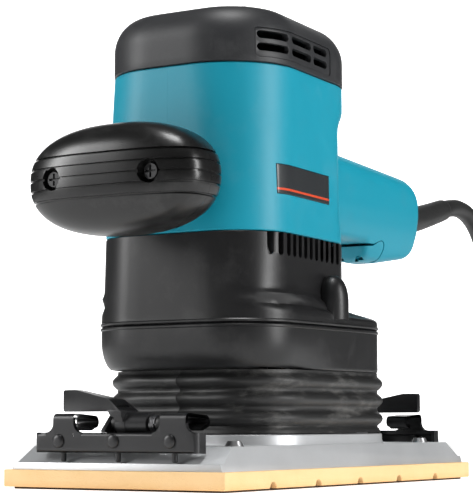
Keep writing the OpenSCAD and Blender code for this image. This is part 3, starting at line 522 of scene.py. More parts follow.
def makeTie():  # a hook strap round the coil
    x, y, z = (43.6, 51.4), (356.6, 380.6), (0.0, 32.3)
    outer = [(y[0], z[0] + 3), (y[0] + 3, z[0]), (y[1] - 3, z[0]), (y[1], z[0] + 3), (y[1], z[1] - 3),
             (y[1] - 3, z[1]), (y[0] + 3, z[1]), (y[0], z[1] - 3)]
    inner = [(a + (1.2 if a < 368 else -1.2), b + (0.9 if b < 16 else -1.1)) for a, b in outer]
    obj = prism("cord_strap", outer, "x", *x)
    combine(obj, [prism("cut", inner, "x", x[0] - 1, x[1] + 1)])
    soften(obj, 0.3, 2, 25)
    place(obj, "tool_body", finishes["black_rubber"], "black_rubber", ["cord_tie"], 35)
    return obj


makeGuard()
plugShell, plugProngs = makePlug()
cordStrap = makeTie()


# Motor housing and rear handle
print("housing")
bodyPlan = [47, 27, -72.6, 42, 24, 29]
ringPlan = [50, 29, -73, 50, 29, 53]
bellowsPlan = [47.5, 27, -62.2, 47.5, 27, 55.5]
housingKit = dict(low=112.6, high=187.8, wall=3, lip=178.5, recess=(125, 170), handleEnd=144)


def rearShift(z):  # the housing's back draws in, and flares out to a lip under the cap
    low, high = housingKit["recess"]
    inward = -3.6 * max(0, min(1, (z - 112) / 16)) * max(0, min(1, (174 - z) / 8))
    t = max(0, min(1, (z - 168) / 9.5))
    return inward + 3.6 * t * t * (3 - 2 * t)


def planAt(z):  # the outline is a little narrower and rounder at the top
    t = max(0, min(1, (z - 112) / 76))
    return [47 - 1.5 * t, 27 + 6 * t, -72.6 + 0.4 * t, 42 - 0.8 * t, 24, 29]


def bodyRing(z, grow):
    ring = []
    for x, y in planPoints(planAt(z), grow, 12):
        t = max(0, min(1, (y - 2) / 24))
        ring.append((x, y + rearShift(z) * t * t * (3 - 2 * t), z))
    return ring


def shellLevels(low, high, grow, edge):
    zs = [low + (high - low) * k / 26 for k in range(27)]
    levels = [(zs[0], grow - edge), (zs[0] + edge, grow)] + [(z, grow) for z in zs[1:-1]]
    return levels + [(zs[-1] - edge, grow), (zs[-1], grow - edge)]


def shrinkAt(z):  # the handle is narrower below
    table = [(100, 13.5), (111.3, 11.0), (113.5, 8.4), (117.5, 5.8), (122.8, 3.2), (129.3, 1.2), (138.3, 0),
             (200, 0)]
    for (z0, w0), (z1, w1) in zip(table, table[1:]):
        if z <= z1:
            return w0 + (w1 - w0) * max(0, z - z0) / (z1 - z0)
    return 0


def handleRing(y, half, low, high):  # one upright section across the handle
    crown = 11.5
    inward = min(crown, half - shrinkAt(high - crown) - 1.5)
    foot = min(3.5, half - shrinkAt(low) - 2.5)
    side = [(low, max(0.8, half - shrinkAt(low) - foot - 2))]
    for k in range(7):
        a = pi / 2 * k / 6
        z = low + foot * (1 - cos(a))
        side.append((z, half - shrinkAt(z) - foot * (1 - sin(a))))
    for k in range(1, 10):
        z = low + foot + (high - crown - low - foot) * k / 10
        side.append((z, half - shrinkAt(z)))
    for k in range(10):
        a = pi / 2 * k / 9
        side.append((high - crown + crown * sin(a), half - shrinkAt(high - crown) - inward * (1 - cos(a))))
    return [(w, y, z) for z, w in side] + [(-w, y, z) for z, w in reversed(side)]


def handleTop(y):
    drop = max(0, y - 131)
    corner = 13.6 - max(0, 185 - drop * drop) ** 0.5
    return 165.4 + 9 * max(0, (44 - y) / 28) ** 2.4 - 0.07 * max(0, y - 44) - corner


def handleLow(y):
    dip = max(0, min(1, (y - 87) / 11))
    return 121 - 9.6 * dip * dip * (3 - 2 * dip) + 0.15 * max(0, y - 108) - 4 * max(0, (40 - y) / 24) ** 2


def handleHalf(y):
    return 18 + 10 * max(0, (46 - y) / 30) ** 2.2


def makeHandle(name, grow):
    rings = []
    ys = [18, 22, 26, 30, 34, 38, 42, 46, 52, 60, 70, 78, 82, 84, 85.5, 87, 88.5, 90, 92, 94, 97, 100, 106,
          112, 118, 124, 129, 133, 136]
    for y in ys:
        rings.append(handleRing(y, handleHalf(y) + grow, handleLow(y) - grow, handleTop(y) + grow))
    end = housingKit["handleEnd"] + grow
    for k in range(1, 11):  # rounded off over the last few millimetres
        t = k / 10
        y = 136 + (end - 136) * sin(t * pi / 2)
        back = 1 - cos(t * pi / 2)
        rings.append(handleRing(y, 18 + grow - 5.5 * back, handleLow(y) - grow + 6.5 * back,
                                handleTop(y) + grow - 2.5 * back))
    return loft(name, rings)


def triggerRoom(name, gap):  # clearance round the trigger, cut through the handle's side walls
    py, pz, r = 103, 117, 5.5 + gap
    side = arcPoints(py, pz, r, 0, 120, 10)
    outline = side + [(py - 7, 120.2 + gap), (py - 20, 120.4 + gap), (py - 20, 100), (py + r, 100)]
    return prism(name, outline, "x", -24, 24)


def makeHousing():
    kit = housingKit
    skin = loft("skin", [bodyRing(z, g) for z, g in shellLevels(kit["low"], kit["high"], 0, 0.5)])
    combine(skin, [makeHandle("handle", 0)], "UNION")
    heights = [kit["low"] - 2] + [115 + 4.6 * k for k in range(16)] + [kit["high"] + 2]
    combine(skin, [loft("room", [bodyRing(z, -kit["wall"]) for z in heights])])
    hollow = makeHandle("hollow", -kit["wall"])
    combine(skin, [hollow])
    combine(skin, [triggerRoom("cut", 0.4)])
    combine(skin, [rod("cut", (0, 138.5), 7.75, "y", 128, 150), rod("cut", (107, 143), 4.4, "x", -30, 0)])
    for y, z in [(-55.6, 176), (22.5, 150), (-65.6, 120), (60, 157.5), (122, 154), (128, 124)]:
        combine(skin, [rod("cut", (y, z), 3.2, "x", -60, -11)])
    badge = box("cut", (40, 60), (-52.6, -1.0), (129.4, 143.0))
    keep = loft("keep", [bodyRing(z, -0.85) for z in (128, 132, 136, 140, 145)])
    combine(badge, [keep])
    combine(skin, [badge])
    halves = []
    for name, low, high in (("housing_right_shell", 0.02, 70), ("housing_left_shell", -70, -0.02)):
        half = newObject(name, skin.data.copy())
        combine(half, [box("slab", (low, high), (-90, 160), (100, 200))], "INTERSECT")
        halves.append(half)
    bpy.data.objects.remove(skin)
    for half, node in zip(halves, ("housing_right", "housing_left")):
        soften(half, 0.35, 2, 50)
        place(half, "tool_body", finishes["teal_plastic"], "teal_plastic", [node], 38)


makeHousing()


def makeTrigger():
    outline = arcPoints(103, 117, 5.5, 0, 110, 11)
    outline += [(96.5, 119.6), (80, 118.6), (80, 105), (108.5, 105)]
    obj = prism("trigger_paddle_shell", outline, "x", -24, 24)
    combine(obj, [makeHandle("skin", -0.25)], "INTERSECT")
    combine(obj, [rod("cut", (103, 117), 2.1, "x", -7.9, 7.9)])
    for s in (-1, 1):
        combine(obj, [box("cut", (s * 5.5 - 1.65, s * 5.5 + 1.65), (94.8, 111), (112.6, 128))])
    soften(obj, 0.4, 2, 45)
    place(obj, "trigger_paddle", finishes["teal_plastic"], "teal_plastic", ["trigger"], 40)


makeTrigger()


def makeLockButton():
    obj = lathe("lock_button_cap", [(1.2, -0.15), (3.0, -0.1), (3.7, 0.25), (4.0, 0.9), (4.0, 8.5)],
                (-21, 107, 143), (1, 0, 0), 36)
    place(obj, "lock_on", finishes["black_plastic"], "black_plastic", ["lock_button"], 50)


makeLockButton()


# Top cover
print("top cover")
coverKit = dict(low=188.1, high=216.0, wall=3.0, window=((-60, 2), (190.5, 204)), rows=(195.1, 200.7),
                slots=((-59, -42), (-39.5, -19), (-16.5, -1.5)))


def coverRing(z, grow):
    ring = []
    for x, y in planPoints(planAt(200), grow, 12):
        t = max(0, min(1, (y - 2) / 24))
        ring.append((x, y + 3.7 * t * t * (3 - 2 * t), z))
    return ring


def coverLevels(grow):
    low, high = coverKit["low"], coverKit["high"] + grow
    start = high - 16.6
    levels = [(low, grow - 0.4), (low + 0.4, grow + 0.3)]
    levels += [(low + k * (start - low) / 3, grow + 0.3) for k in range(1, 4)]
    for k in range(1, 17):
        a = pi / 2 * k / 16
        levels.append((start + 16.2 * sin(a), grow + 0.3 - 14.5 * (1 - cos(a))))
    return levels + [(high - 0.2, grow - 17.5), (high, grow - 21)]


def coverSkin(name, grow, drop=0.0):
    levels = coverLevels(grow)
    if drop:
        levels = [(levels[0][0] - drop, grow)] + levels[1:]
    return loft(name, [coverRing(z, g) for z, g in levels])


def capsule(name, y0, y1, z, r, x0, x1):
    right = arcPoints(y1 - r, z, r, -90, 90, 10)
    left = arcPoints(y0 + r, z, r, 90, 270, 10)
    return prism(name, right + left, "x", x0, x1)


def windowBlock(name, side, grow):
    (y0, y1), (z0, z1) = coverKit["window"]
    r = 2.0
    corners = [((y1 - r, z1 - r), 0), ((y0 + r, z1 - r), 90), ((y0 + r, z0 + r), 180),
               ((y1 - r, z0 + r), 270)]
    outline = [p for c, a in corners for p in arcPoints(*c, r + grow, a, a + 90, 5)]
    return prism(name, outline, "x", *sorted((side * 20, side * 60)))


def makeCover():
    skin = coverSkin("top_cover_shell", 0)
    combine(skin, [coverSkin("inside", -coverKit["wall"], 2)])
    for side in (-1, 1):
        combine(skin, [windowBlock("cut", side, 0)])
    for x, y in ((-26, -50), (26, -50), (-24, 12), (24, 12)):
        combine(skin, [rod("cut", (x, y), 3.6, "z", 214.8, 220), rod("cut", (x, y), 1.8, "z", 180, 220)])
    soften(skin, 0.3, 2, 48)
    place(skin, "tool_body", finishes["grey_plastic"], "grey_plastic", ["top_cover"], 38)
    for side, node in ((1, "vent_panel_right"), (-1, "vent_panel_left")):
        panel = coverSkin(node + "_grille", -0.25)
        combine(panel, [coverSkin("inside", -coverKit["wall"] + 0.3, 2)])
        combine(panel, [windowBlock("frame", side, -0.25)], "INTERSECT")
        for z in coverKit["rows"]:
            for y0, y1 in coverKit["slots"]:
                combine(panel, [capsule("cut", y0, y1, z, 1.8, *sorted((side * 20, side * 60)))])
        soften(panel, 0.35, 2, 48)
        place(panel, "tool_body", finishes["grey_plastic"], "grey_plastic", [node], 38)


makeCover()


# Fan housing, skirt ring and bellows
print("fan housing")
fanKit = dict(low=72.15, high=112.3, slots=12, first=-57.0, pitch=5.873, slotWide=3.3, slotLow=102.0,
              wall=3.0)


def ledgeZ(y):
    return max(80.3, 85.3 - max(0, y + 25) * 0.135)


def sloped(plan, grow, drop):
    out = []
    for x, y in planPoints(plan, grow, 12):
        fade = max(0, min(1, (y + 25) / 37))
        out.append((x, y, ledgeZ(y) + drop * (1 - 0.45 * fade)))
    return out


def flat(plan, grow, z):
    return [(x, y, z) for x, y in planPoints(plan, grow, 12)]


def between(first, second, t):
    return [tuple(a + (b - a) * t for a, b in zip(p, q)) for p, q in zip(first, second)]


def drafted(ring, height):  # round the front the ledge gives way to one gently sloping wall
    t = max(0, min(1, (112 - height) / 38))
    wall = between(planPoints(bodyPlan, 0, 12), planPoints(ringPlan, 0, 12), t)
    out = []
    for (x, y, z), (wx, wy) in zip(ring, wall):
        m = max(0, min(1, (wy + 71) / 18))
        m = m * m * (3 - 2 * m)
        out.append((wx + (x - wx) * m, wy + (y - wy) * m, height + (z - height) * m))
    return out


def makeFanHousing():
    kit = fanKit
    edge, foot = sloped(ringPlan, -2.6, -4.6), sloped(bodyPlan, 2.0, -0.1)
    rings = [flat(ringPlan, -0.35, kit["low"]), flat(ringPlan, 0.1, kit["low"] + 0.3),
             flat(ringPlan, 0.5, 72.75), flat(ringPlan, 0.5, 73.4), flat(ringPlan, 0.05, 73.9)]
    rings.append(drafted(flat(ringPlan, 0, 75.6), 75.6))
    steps = [(sloped(ringPlan, 0, -8.2), 77.4), (sloped(ringPlan, -0.35, -6.9), 78.6),
             (sloped(ringPlan, -1.2, -5.7), 79.7), (edge, 80.8), (between(edge, foot, 0.5), 83), (foot, 85.2),
             (sloped(bodyPlan, 0.9, 0.9), 86.4), (sloped(bodyPlan, 0.25, 2.2), 87.8),
             (sloped(bodyPlan, 0, 4.5), 90)]
    rings += [drafted(ring, height) for ring, height in steps]
    top = flat(bodyPlan, 0, kit["high"] - 0.3)
    rings += [between(rings[-1], top, t) for t in (0.25, 0.5, 0.75)]
    rings += [top, flat(bodyPlan, -0.3, kit["high"])]
    skin = loft("fan_housing_shell", rings)
    for side in (-1, 1):
        dome = [(7.4, 75.5), (7.4, 84.5), (7.1, 87.5), (6.4, 90.6), (5.2, 93.2), (3.6, 95.0), (1.9, 95.9),
                (0.3, 96.1)]
        boss = lathe("boss", dome, (side * 46.2, -5, 0), (0, 0, 1), 40)
        combine(skin, [boss], "UNION")
    inner = [flat(ringPlan, -3, 70), sloped(ringPlan, -3, -11.5), sloped(ringPlan, -8, -6.5),
             sloped(bodyPlan, -3, -1.5), flat(bodyPlan, -3, 114)]
    combine(skin, [loft("inside", inner)])
    for i in range(kit["slots"]):
        y = kit["first"] + kit["pitch"] * i
        h = kit["slotWide"] / 2
        outline = arcPoints(y, kit["slotLow"] + h, h, 180, 360, 9)
        combine(skin, [prism("cut", outline + [(y + h, 114), (y - h, 114)], "x", -60, 60)])
    scoops = []
    for side in (-1, 1):  # curved guides behind the exhaust slots
        curve = [(44.3, 101.2), (43.2, 103.2), (42.3, 105.6), (41.7, 108.4), (41.3, 112)]
        outline = [(side * x, z) for x, z in curve] + [(side * (x - 1.1), z) for x, z in reversed(curve)]
        scoops.append(prism("scoop", outline, "y", -60, 11))
    for scoop in scoops:
        combine(scoop, [loft("inset", [flat(bodyPlan, -1.6, z) for z in (98, 113)])], "INTERSECT")
    combine(skin, scoops, "UNION")
    soften(skin, 0.3, 2, 50)
    place(skin, "tool_body", finishes["black_plastic"], "black_plastic", ["fan_housing"], 36)


makeFanHousing()


def tapered(plan, grow, z):  # round the front the lower edge curls in towards the bellows
    drop = max(0, min(1, (66 - z) / 14))
    pull = 6.2 * (1 - (1 - drop * drop) ** 0.5)
    out = []
    for (x, y), (ix, iy) in zip(planPoints(plan, grow, 12), planPoints(plan, grow - 1, 12)):
        m = max(0, min(1, (-8 - y) / 40))
        m = m * m * (3 - 2 * m) * pull
        out.append((x + (ix - x) * m, y + (iy - y) * m, z))
    return out


def makeRing():
    levels = [(52.0, -0.6), (52.3, -0.15), (52.8, 0), (53.6, 0), (54.8, 0), (56.4, 0), (58.5, 0), (61, 0),
              (64, 0), (68, 0), (70.2, 0), (70.6, 0.5), (71.3, 0.5), (71.7, 0.1), (72.0, -0.35)]
    skin = loft("skirt_ring_shell", [tapered(ringPlan, g, z) for z, g in levels])
    hollow = [(x * 0.965, max(y, -61.3), z) for z in (50, 74) for x, y in planPoints(ringPlan, -3, 12)]
    count = len(hollow) // 2
    combine(skin, [loft("inside", [hollow[:count], hollow[count:]])])
    place(skin, "tool_body", finishes["black_plastic"], "black_plastic", ["skirt_ring"], 40)


makeRing()


def makeBellows():
    kit = dict(low=23.75, high=51.9, ribs=(30.4, 38.9, 46.9), proud=2.6, wall=2.2)
    rings = []
    steps = 44
    zs = [kit["low"] + (kit["high"] - kit["low"]) * k / steps for k in range(steps + 1)]

    def proud(z):
        rib = max(max(0, 1 - ((z - r) / 3.4) ** 2) ** 1.1 for r in kit["ribs"])
        foot = max(0, 1 - (z - kit["low"]) / 2.6) ** 0.5 * 0.6 if z < kit["low"] + 2.6 else 0
        return kit["proud"] * max(rib, foot)

    for z in zs:
        ring = []
        for x, y in planPoints(bellowsPlan, proud(z), 12):
            if abs(x) < 1.2 and y < 0:
                y -= 0.45 * (1 - abs(x) / 1.2)
                x += 0.5 * sin(z * 0.9)
            elif y < 0:
                y += 0.12 * sin(x * 0.31 + z)
            ring.append((x, y, z))
        rings.append(ring)
    inner = [[(x, y, z) for x, y in planPoints(bellowsPlan, max(proud(z), 0) - kit["wall"] - 0.8, 12)]
             for z in reversed(zs)]
    obj = loft("bellows_sleeve", rings + inner, closed=True)
    place(obj, "tool_body", finishes["bellows_rubber"], "bellows_rubber", ["bellows"], 60)


makeBellows()


# Base plate and pad
print("plate and pad")
plateKit = dict(half=54.7, top=51.7, long=112.0, foot=8.45, lip=11.5, ledge=109.5, slope=100.0, flatZ=18.6)
padKit = dict(half=57.5, long=114.5, low=0.9, high=8.4, grooves=5, groove=2.5, inset=2.5)


def makePlate():
    k = plateKit
    across = [(-k["half"], k["foot"]), (k["half"], k["foot"]), (k["top"], k["flatZ"]),
              (-k["top"], k["flatZ"])]
    along = [(-k["long"], k["foot"]), (k["long"], k["foot"]), (k["long"], k["lip"]), (k["ledge"], k["lip"]),
             (k["slope"], k["flatZ"]), (-k["slope"], k["flatZ"]), (-k["ledge"], k["lip"]),
             (-k["long"], k["lip"])]
    skin = prism("base_plate_casting", across, "y", -k["long"] - 1, k["long"] + 1)
    combine(skin, [prism("along", along, "x", -60, 60)], "INTERSECT")
    for sx in (-1, 1):  # a sloping facet at each corner
        for sy in (-1, 1):
            facet = loft("facet", [[(sx * 60, sy * 96.5, 30), (sx * 60, sy * 118, 30),
                                    (sx * 44, sy * 118, 30)],
                                   [(sx * 60, sy * 107.5, 11.4), (sx * 60, sy * 118, 11.4),
                                    (sx * 53.9, sy * 118, 11.4)]])
            combine(skin, [facet])
    deck = [flat(bellowsPlan, g, z) for z, g in ((17, 3), (19, 2.6), (20.5, 2.1), (22.9, 2), (23.3, 1.6))]
    combine(skin, [loft("deck", deck)], "UNION")
    cup = [(23, 20), (22.2, 23.4), (21.3, 25), (21, 27), (21, 37.8), (20.5, 38.3)]
    combine(skin, [lathe("cup", cup, (0, -24.5, 0), (0, 0, 1), 64)], "UNION")
    for sy in (-1, 1):
        eye = [(sy * y, z) for y, z in arcPoints(104, 28.2, 3.7, -60, 120, 15)]
        root = [(sy * 100.6, 29.8), (sy * 95, 17.5), (sy * 100, 17.5), (sy * 104.6, 14.6),
                (sy * 104.8, 25.2)]
        for x in (-19.9 * sy, 3.2 * sy):
            combine(skin, [prism("ear", eye + root, "x", x - 1.4, x + 1.4)], "UNION")
            combine(skin, [rod("cut", (sy * 104, 28.2), 2.52, "x", x - 4, x + 4)])
        for sx in (-1, 1):
            combine(skin, [rod("cut", (sx * 44, sy * 86), 2.1, "z", 0, 40)])
    combine(skin, [rod("cut", (0, -24.5), 14.05, "z", 27.7, 60, 64),
                   rod("cut", (0, -24.5), 10, "z", 24.3, 60, 64)])
    soften(skin, 0.45, 2, 24)
    place(skin, "pad_assembly", finishes["plate_shaded_top"], "cast_plate", ["base_plate"], 32)


makePlate()


def makePad():
    k = padKit
    pitch = 2 * k["long"] / (k["grooves"] + 1)
    outline = [(k["long"], k["low"]), (k["long"], k["high"]), (-k["long"], k["high"]),
               (-k["long"], k["low"])]
    for i in range(1, k["grooves"] + 1):
        y = -k["long"] + i * pitch
        outline += [(y - k["groove"] * cos(radians(a)), k["low"] + (k["groove"] + 0.3) * sin(radians(a)))
                    for a in range(0, 181, 12)]
    foam = prism("sanding_pad_foam", outline, "x", -k["half"], k["half"])
    soften(foam, 0.5, 3, 50)
    place(foam, "pad_assembly", finishes["pad_foam"], "pad_foam", ["sanding_pad"], 40)
    half, long = k["half"] - k["inset"], k["long"] - k["inset"]
    corner = [((half - 3, long - 3), 0), ((3 - half, long - 3), 90), ((3 - half, 3 - long), 180),
              ((half - 3, 3 - long), 270)]
    rim = [p for c, a in corner for p in arcPoints(*c, 3, a, a + 90, 6)]
    facing = prism("pad_facing_sheet", rim, "z", 0, 0.88)
    soften(facing, 0.2, 2, 50)
    place(facing, "pad_assembly", finishes["facing_dark"], "facing_dark", ["pad_facing"], 40)


makePad()


# Front grip
print("front grip")
gripKit = dict(centre=(0, -105, 133), wide=45.0, deep=20.0, tall=24.3, grooves=5, pitch=4.7, cut=1.0,
               groove=0.55, screws=(-25.4, 25.4), recess=5.0)


def gripSkin(name, grow=0.0):
    k = gripKit
    w, d, h = k["wide"] + grow, k["deep"] + grow, k["tall"] + grow
    rings = []
    for i in range(1, 48):
        t = -cos(pi * i / 48)
        x = w * math.copysign(abs(t) ** 0.97, t)
        tall = h * max(0, 1 - abs(x / w) ** 2.4) ** (1 / 2.4)
        deep = d * max(0, 1 - abs(x / w) ** 3.2) ** (1 / 3.2)
        ring = []
        for j in range(72):
            a = 2 * pi * (j + 0.5) / 72
            y = deep * math.copysign(abs(cos(a)) ** (2 / 2.6), cos(a))
            z = tall * math.copysign(abs(sin(a)) ** (2 / 2.6), sin(a))
            ring.append((x, k["centre"][1] + y, k["centre"][2] + z))
        rings.append(ring)
    return loft(name, rings)


def makeGrip():
    k = gripKit
    cy, cz = k["centre"][1:]
    for name, node, low, high in (("grip_front_half", "grip_front_shell", -140, cy - 0.05),
                                  ("grip_rear_half", "grip_rear_shell", cy + 0.05, -60)):
        half = gripSkin(name)
        combine(half, [box("slab", (-60, 60), (low, high), (80, 180))], "INTERSECT")
        front = node == "grip_front_shell"
        if not front:
            stem = lathe("stem", [(15, -92.0), (15, -82), (15.4, -80.5), (16.6, -79.2), (16.6, -78.75)],
                         (0, 0, cz), (0, 1, 0), 48)
            combine(half, [stem], "UNION")
        for j in range(k["grooves"]):
            z = cz + k["pitch"] * (j - (k["grooves"] - 1) / 2)
            band = box("band", (-60, 60), (-140, -88), (z - k["groove"], z + k["groove"]))
            combine(band, [gripSkin("core", -k["cut"])])
            combine(half, [band])
        for x in k["screws"]:
            if front:
                combine(half, [rod("cut", (x, cz), k["recess"], "y", -140, cy - 14),
                               rod("cut", (x, cz), 2.1, "y", -140, cy + 1)])
            else:
                combine(half, [rod("cut", (x, cz), 2.1, "y", -125, cy + 12)])
        if not front:
            for x in (-8, 8):
                combine(half, [rod("cut", (x, cz), 2.1, "y", -99, -60)])
        soften(half, 0.28, 2, 48)
        place(half, "tool_body", finishes["grip_black"], "grip_black", [node], 42)


makeGrip()


# Paper clamps; the rear one is made and the front one is its half turn
print("clamps")
clampKit = dict(pivot=(104.0, 28.2), halfBar=42.5, tabs=((-37.0, -24.0), (21.0, 32.0)), lugs=(-22.7, 6.0),
                bore=2.55, rivets=(-29.0, 0.0, 29.0), rivetZ=20.8, barrel=(-14.1, 1.6), barrelR=4.7)


def bothSides(line, thick):  # a bent strip: the line is its outer face
    inner = []
    for i, (y, z) in enumerate(line):
        a, b = line[max(i - 1, 0)], line[min(i + 1, len(line) - 1)]
        dy, dz = b[0] - a[0], b[1] - a[1]
        size = math.hypot(dy, dz)
        inner.append((y - dz / size * thick, z + dy / size * thick))
    return line + inner[::-1]


def makeBar():
    k = clampKit
    py, pz = k["pivot"]
    outer = [(105.5, 15.8)] + arcPoints(110.3, 18.0, 2.2, -90, 0, 6)
    outer += arcPoints(110.9, 22.8, 1.6, 0, 90, 5) + [(107.6, 24.4)]
    inner = [(107.6, 22.4)] + arcPoints(109.7, 21.6, 0.8, 90, 0, 4)
    inner += arcPoints(109.5, 18.8, 1.0, 0, -90, 4) + [(105.5, 17.8)]
    web = prism("clamp_bar_web", outer + inner, "x", -k["halfBar"], k["halfBar"])
    hook = [(112.5, 18.5), (112.5, 26)] + arcPoints(109.9, 30.0, 2.6, 0, 96, 8) + [(104, 32.2), (100, 31.9)]
    hook += arcPoints(96.9, 28.9, 2.8, 86, 235, 10) + [(97.2, 26.1), (99.2, 25.2)]
    for x0, x1 in k["tabs"]:
        combine(web, [prism("tab", bothSides(hook, 1.6), "x", x0, x1)], "UNION")
        for x, s in ((x0, -1), (x1, 1)):  # fillets where the tab leaves the bar
            corner = [(x - s * 1.5, 21)]
            corner += [(x + s * 4 - s * u, 28.4 - v) for u, v in arcPoints(0, 0, 4, 0, 90, 6)]
            corner += [(x + s * 4, 21)]
            combine(web, [prism("fillet", corner, "y", 110.5, 112.48)], "UNION")
    for x in k["lugs"]:
        lug = arcPoints(py, pz, 3.7, 70, 250, 9) + [(107, 23.0), (111, 23.4), (111.5, 25.4)]
        combine(web, [prism("lug", lug, "x", x - 1, x + 1)], "UNION")
        combine(web, [rod("cut", (py, pz), k["bore"], "x", x - 3, x + 3)])
    for x in k["rivets"]:
        combine(web, [rod("cut", (x, k["rivetZ"]), 1.54, "y", 100, 120, 24)])
    for s in (-1, 1):
        combine(web, [box("wall", sorted((s * 40.8, s * k["halfBar"])), (105.5, 112), (16.2, 24))], "UNION")
    for x in (-k["halfBar"], k["halfBar"]):  # the ends of the bar are rounded in plan
        block = box("end", sorted((x, x - math.copysign(3, x))), (109.5, 114), (10, 29))
        combine(block, [rod("round", (x - math.copysign(3, x), 109.5), 3.0, "z", 9, 30, 32)])
        combine(web, [block])
    return soften(web, 0.3, 2, 34)


def makeLever():
    k = clampKit
    py, pz = k["pivot"]
    side = [(-2.6, 33.4), (38.6, 33.4), (39.6, 33.7), (40, 34.6), (40, 42), (39.6, 42.8), (38.8, 43),
            (31.5, 43), (29, 42.7), (5.6, 38.5), (4.6, 37.9)]
    blade = prism("lever_blade", side, "y", 84, 113)
    plan = [(-2.6, 111), (-2.6, 97), (10, 96.2), (25, 94.2), (40, 92), (40, 95), (22, 101.4), (8, 106.6)]
    combine(blade, [prism("plan", plan, "z", 28, 50)], "INTERSECT")
    under = [(0.5, 108.2), (0.5, 99.4), (10, 98.2), (25, 96.2), (37.5, 94.2), (37.5, 94.6), (22, 99.4),
             (8, 104.6)]
    combine(blade, [prism("hollow", under, "z", 30, 36)])
    arm = [(99, 33.8), (100, 28.2), (108.6, 28.2), (109.5, 29.9), (110.1, 31.4), (110.6, 33.8)]
    combine(blade, [prism("arm", arm, "x", -2.6, k["barrel"][1])], "UNION")
    wing = [(-2.6, 34), (-2.6, 31.2), (2.6, 31.2), (3.4, 32), (4.6, 34)]
    combine(blade, [prism("wing", wing, "y", 108.0, 110.4)], "UNION")
    combine(blade, [rod("barrel", (py, pz), k["barrelR"], "x", *k["barrel"], 48)], "UNION")
    combine(blade, [rod("collar", (py, pz), 4.95, "x", -3.4, k["barrel"][1], 48)], "UNION")
    combine(blade, [rod("cut", (py, pz), k["bore"], "x", -30, 30, 40)])
    return soften(blade, 0.55, 3, 30)


def makeSpring():  # close-wound torsion spring on the pivot
    py, pz = clampKit["pivot"]
    turns, wire, start, end = 3.2, 0.58, -17.6, -14.8
    r = 3.7 - wire
    count = 92
    rings = []
    for i in range(count + 1):
        a = 2 * pi * turns * i / count
        out = Vector((0, cos(a), sin(a)))
        centre = Vector((start + (end - start) * i / count, py, pz)) + r * out
        turned = [2 * pi * j / 10 for j in range(10)]
        rings.append([tuple(centre + wire * 0.95 * (cos(b) * out + sin(b) * Vector((1, 0, 0))))
                      for b in turned])
    return loft("lever_spring", rings)


def makeRivets():
    z = clampKit["rivetZ"]
    parts = []
    for x in clampKit["rivets"]:
        parts.append(lathe("rivet", [(1.5, 108.6), (1.5, 112.5), (3.0, 112.52), (3.0, 112.8), (2.75, 113.2),
                                     (2.2, 113.55), (1.2, 113.7)],
                           (x, 0, z), (0, 1, 0), 28))
        parts.append(lathe("peg", [(1.2, 15.75), (1.2, 12.3), (0.8, 11.95)], (x - 1.5, 110.6, 0), (0, 0, 1),
                           16))
    return join("bar_rivets", parts)


def makePivot():
    py, pz = clampKit["pivot"]
    return lathe("pivot_pin_rod", [(1.9, -24.2), (2.5, -23.6), (2.5, 6.9), (1.9, 7.5)], (0, py, pz),
                 (1, 0, 0), 32)


def makeClamps():
    makers = ((makeBar, "clamp_bar_press", "clamp_bar", "bar", "black_steel", 34),
              (makeLever, "lever_blade", "lever", "lever", "black_steel", 38),
              (makeSpring, "lever_spring_wire", "lever_spring", "pad", "dark_steel", 60),
              (makeRivets, "bar_rivet_set", "bar_rivets", "bar", "black_steel", 40),
              (makePivot, "pivot_pin_rod", "pivot_pin", "pad", "dark_steel", 50))
    for maker, name, node, body, slot, angle in makers:
        rear = maker()
        front = halfTurn("front_" + name, rear)
        rear.name = "rear_" + name
        for piece, end in ((front, "front"), (rear, "rear")):
            ride = "pad_assembly" if body == "pad" else body + "_" + end
            place(piece, ride, finishes[slot], slot, [end + "_" + node], angle)


makeClamps()


# Badge
def makeBadge():
    plate = box("badge_panel", (40, 60), (-52.4, -1.2), (129.6, 142.8))
    outer = loft("outer", [bodyRing(z, 0.12) for z in (126, 130, 134, 138, 142, 146)])
    combine(plate, [outer], "INTERSECT")
    combine(plate, [loft("inner", [bodyRing(z, -0.8) for z in (125, 130, 134, 138, 142, 147)])])
    soften(plate, 0.25, 2, 50)
    place(plate, "tool_body", finishes["badge"], "badge", ["badge_plate"], 35)


makeBadge()


# What stays from the design
print("carried over")
for part in frame["record"]["subparts"]:
    held = frame["nodes"].get(part["node"])
    slot = "black_steel" if part["node"] == "grip_screws" else part["material_slot"]
    if held:
        for holder in held.material_slots:
            holder.material = finishes[slot]


# Studio
print("studio")
studio = dict(floor=1.6, floorTone=(0.9, 0.9, 0.9), world=0.07, wall=(-1.3, 2.1), glow=1.3)


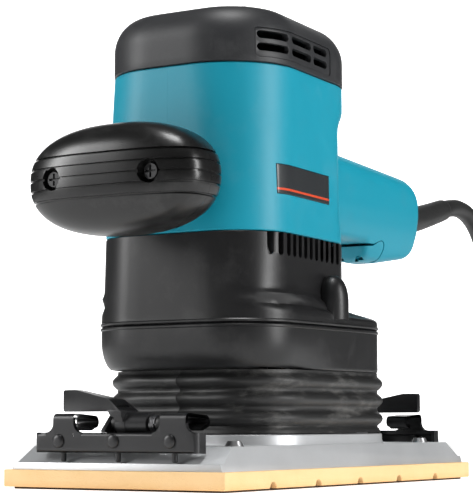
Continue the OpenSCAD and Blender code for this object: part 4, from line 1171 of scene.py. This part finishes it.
def makeFloor():
    size = studio["floor"]
    corners = [Vector((x * size, y * size, 0)) for x, y in ((-1, -1), (1, -1), (1, 2), (-1, 2))]
    mesh = bpy.data.meshes.new("floor")
    mesh.from_pydata(corners, [], [(0, 1, 2, 3)])
    obj = newObject("floor", mesh)
    f = Finish("floorPaper", Emission_Strength=0.5)
    f.feed("Emission Color", f.blend(f.noise(3, 2), rgb(1, 1, 1), rgb(0.98, 0.98, 0.98)))
    f.feed("Base Color", f.blend(f.noise(3, 2), rgb(*studio["floorTone"]), rgb(0.9, 0.9, 0.9)))
    f.feed("Roughness", 0.75 + f.noise(40, 2) * 0.1)
    obj.data.materials.append(f.material)


def makeWall():  # a plain bright backdrop, far behind the tool
    cx, cy = studio["wall"]
    out = Vector((-cx, -cy, 0)).normalized()
    side = Vector((-out.y, out.x, 0))
    spans = ((-0.95, -0.8), (0.95, -0.8), (0.95, 1.6), (-0.95, 1.6))
    corners = [Vector((cx, cy, 0)) + side * w + Vector((0, 0, h)) for w, h in spans]
    mesh = bpy.data.meshes.new("backdrop")
    mesh.from_pydata(corners, [], [(0, 1, 2, 3)])
    obj = newObject("backdrop", mesh)
    f = Finish("backdropPaper", Emission_Strength=studio["glow"])
    f.feed("Base Color", f.blend(f.noise(3, 2), rgb(0.9, 0.9, 0.9), rgb(0.92, 0.92, 0.92)))
    f.feed("Emission Color", f.blend(f.noise(3, 2), rgb(1, 1, 1), rgb(0.98, 0.98, 0.98)))
    obj.data.materials.append(f.material)


def makeLight(name, spot, aim, size, power, tint=(1, 1, 1)):
    data = bpy.data.lights.new(name, "AREA")
    data.shape = "RECTANGLE"
    data.size, data.size_y = size
    data.energy = power
    data.color = tint
    obj = bpy.data.objects.new(name, data)
    bpy.context.scene.collection.objects.link(obj)
    obj.location = spot
    obj.rotation_euler = (Vector(aim) - Vector(spot)).to_track_quat("-Z", "Y").to_euler()


makeFloor()
makeWall()
makeLight("keyLeft", (-0.95, -0.85, 0.6), (0, 0, 0.1), (0.22, 0.8), 14)
makeLight("topSoft", (0.1, -0.2, 1.3), (0, 0, 0.1), (0.4, 0.4), 11)
makeLight("sideStrip", (1.3, 0.15, 0.45), (0, 0, 0.1), (0.3, 0.8), 15)
bpy.context.scene.view_settings.view_transform = "Standard"
world = bpy.data.worlds.new("studioWorld")
world.use_nodes = True
world.node_tree.nodes["Background"].inputs["Color"].default_value = rgb(1, 1, 1)
world.node_tree.nodes["Background"].inputs["Strength"].default_value = studio["world"]
bpy.context.scene.world = world
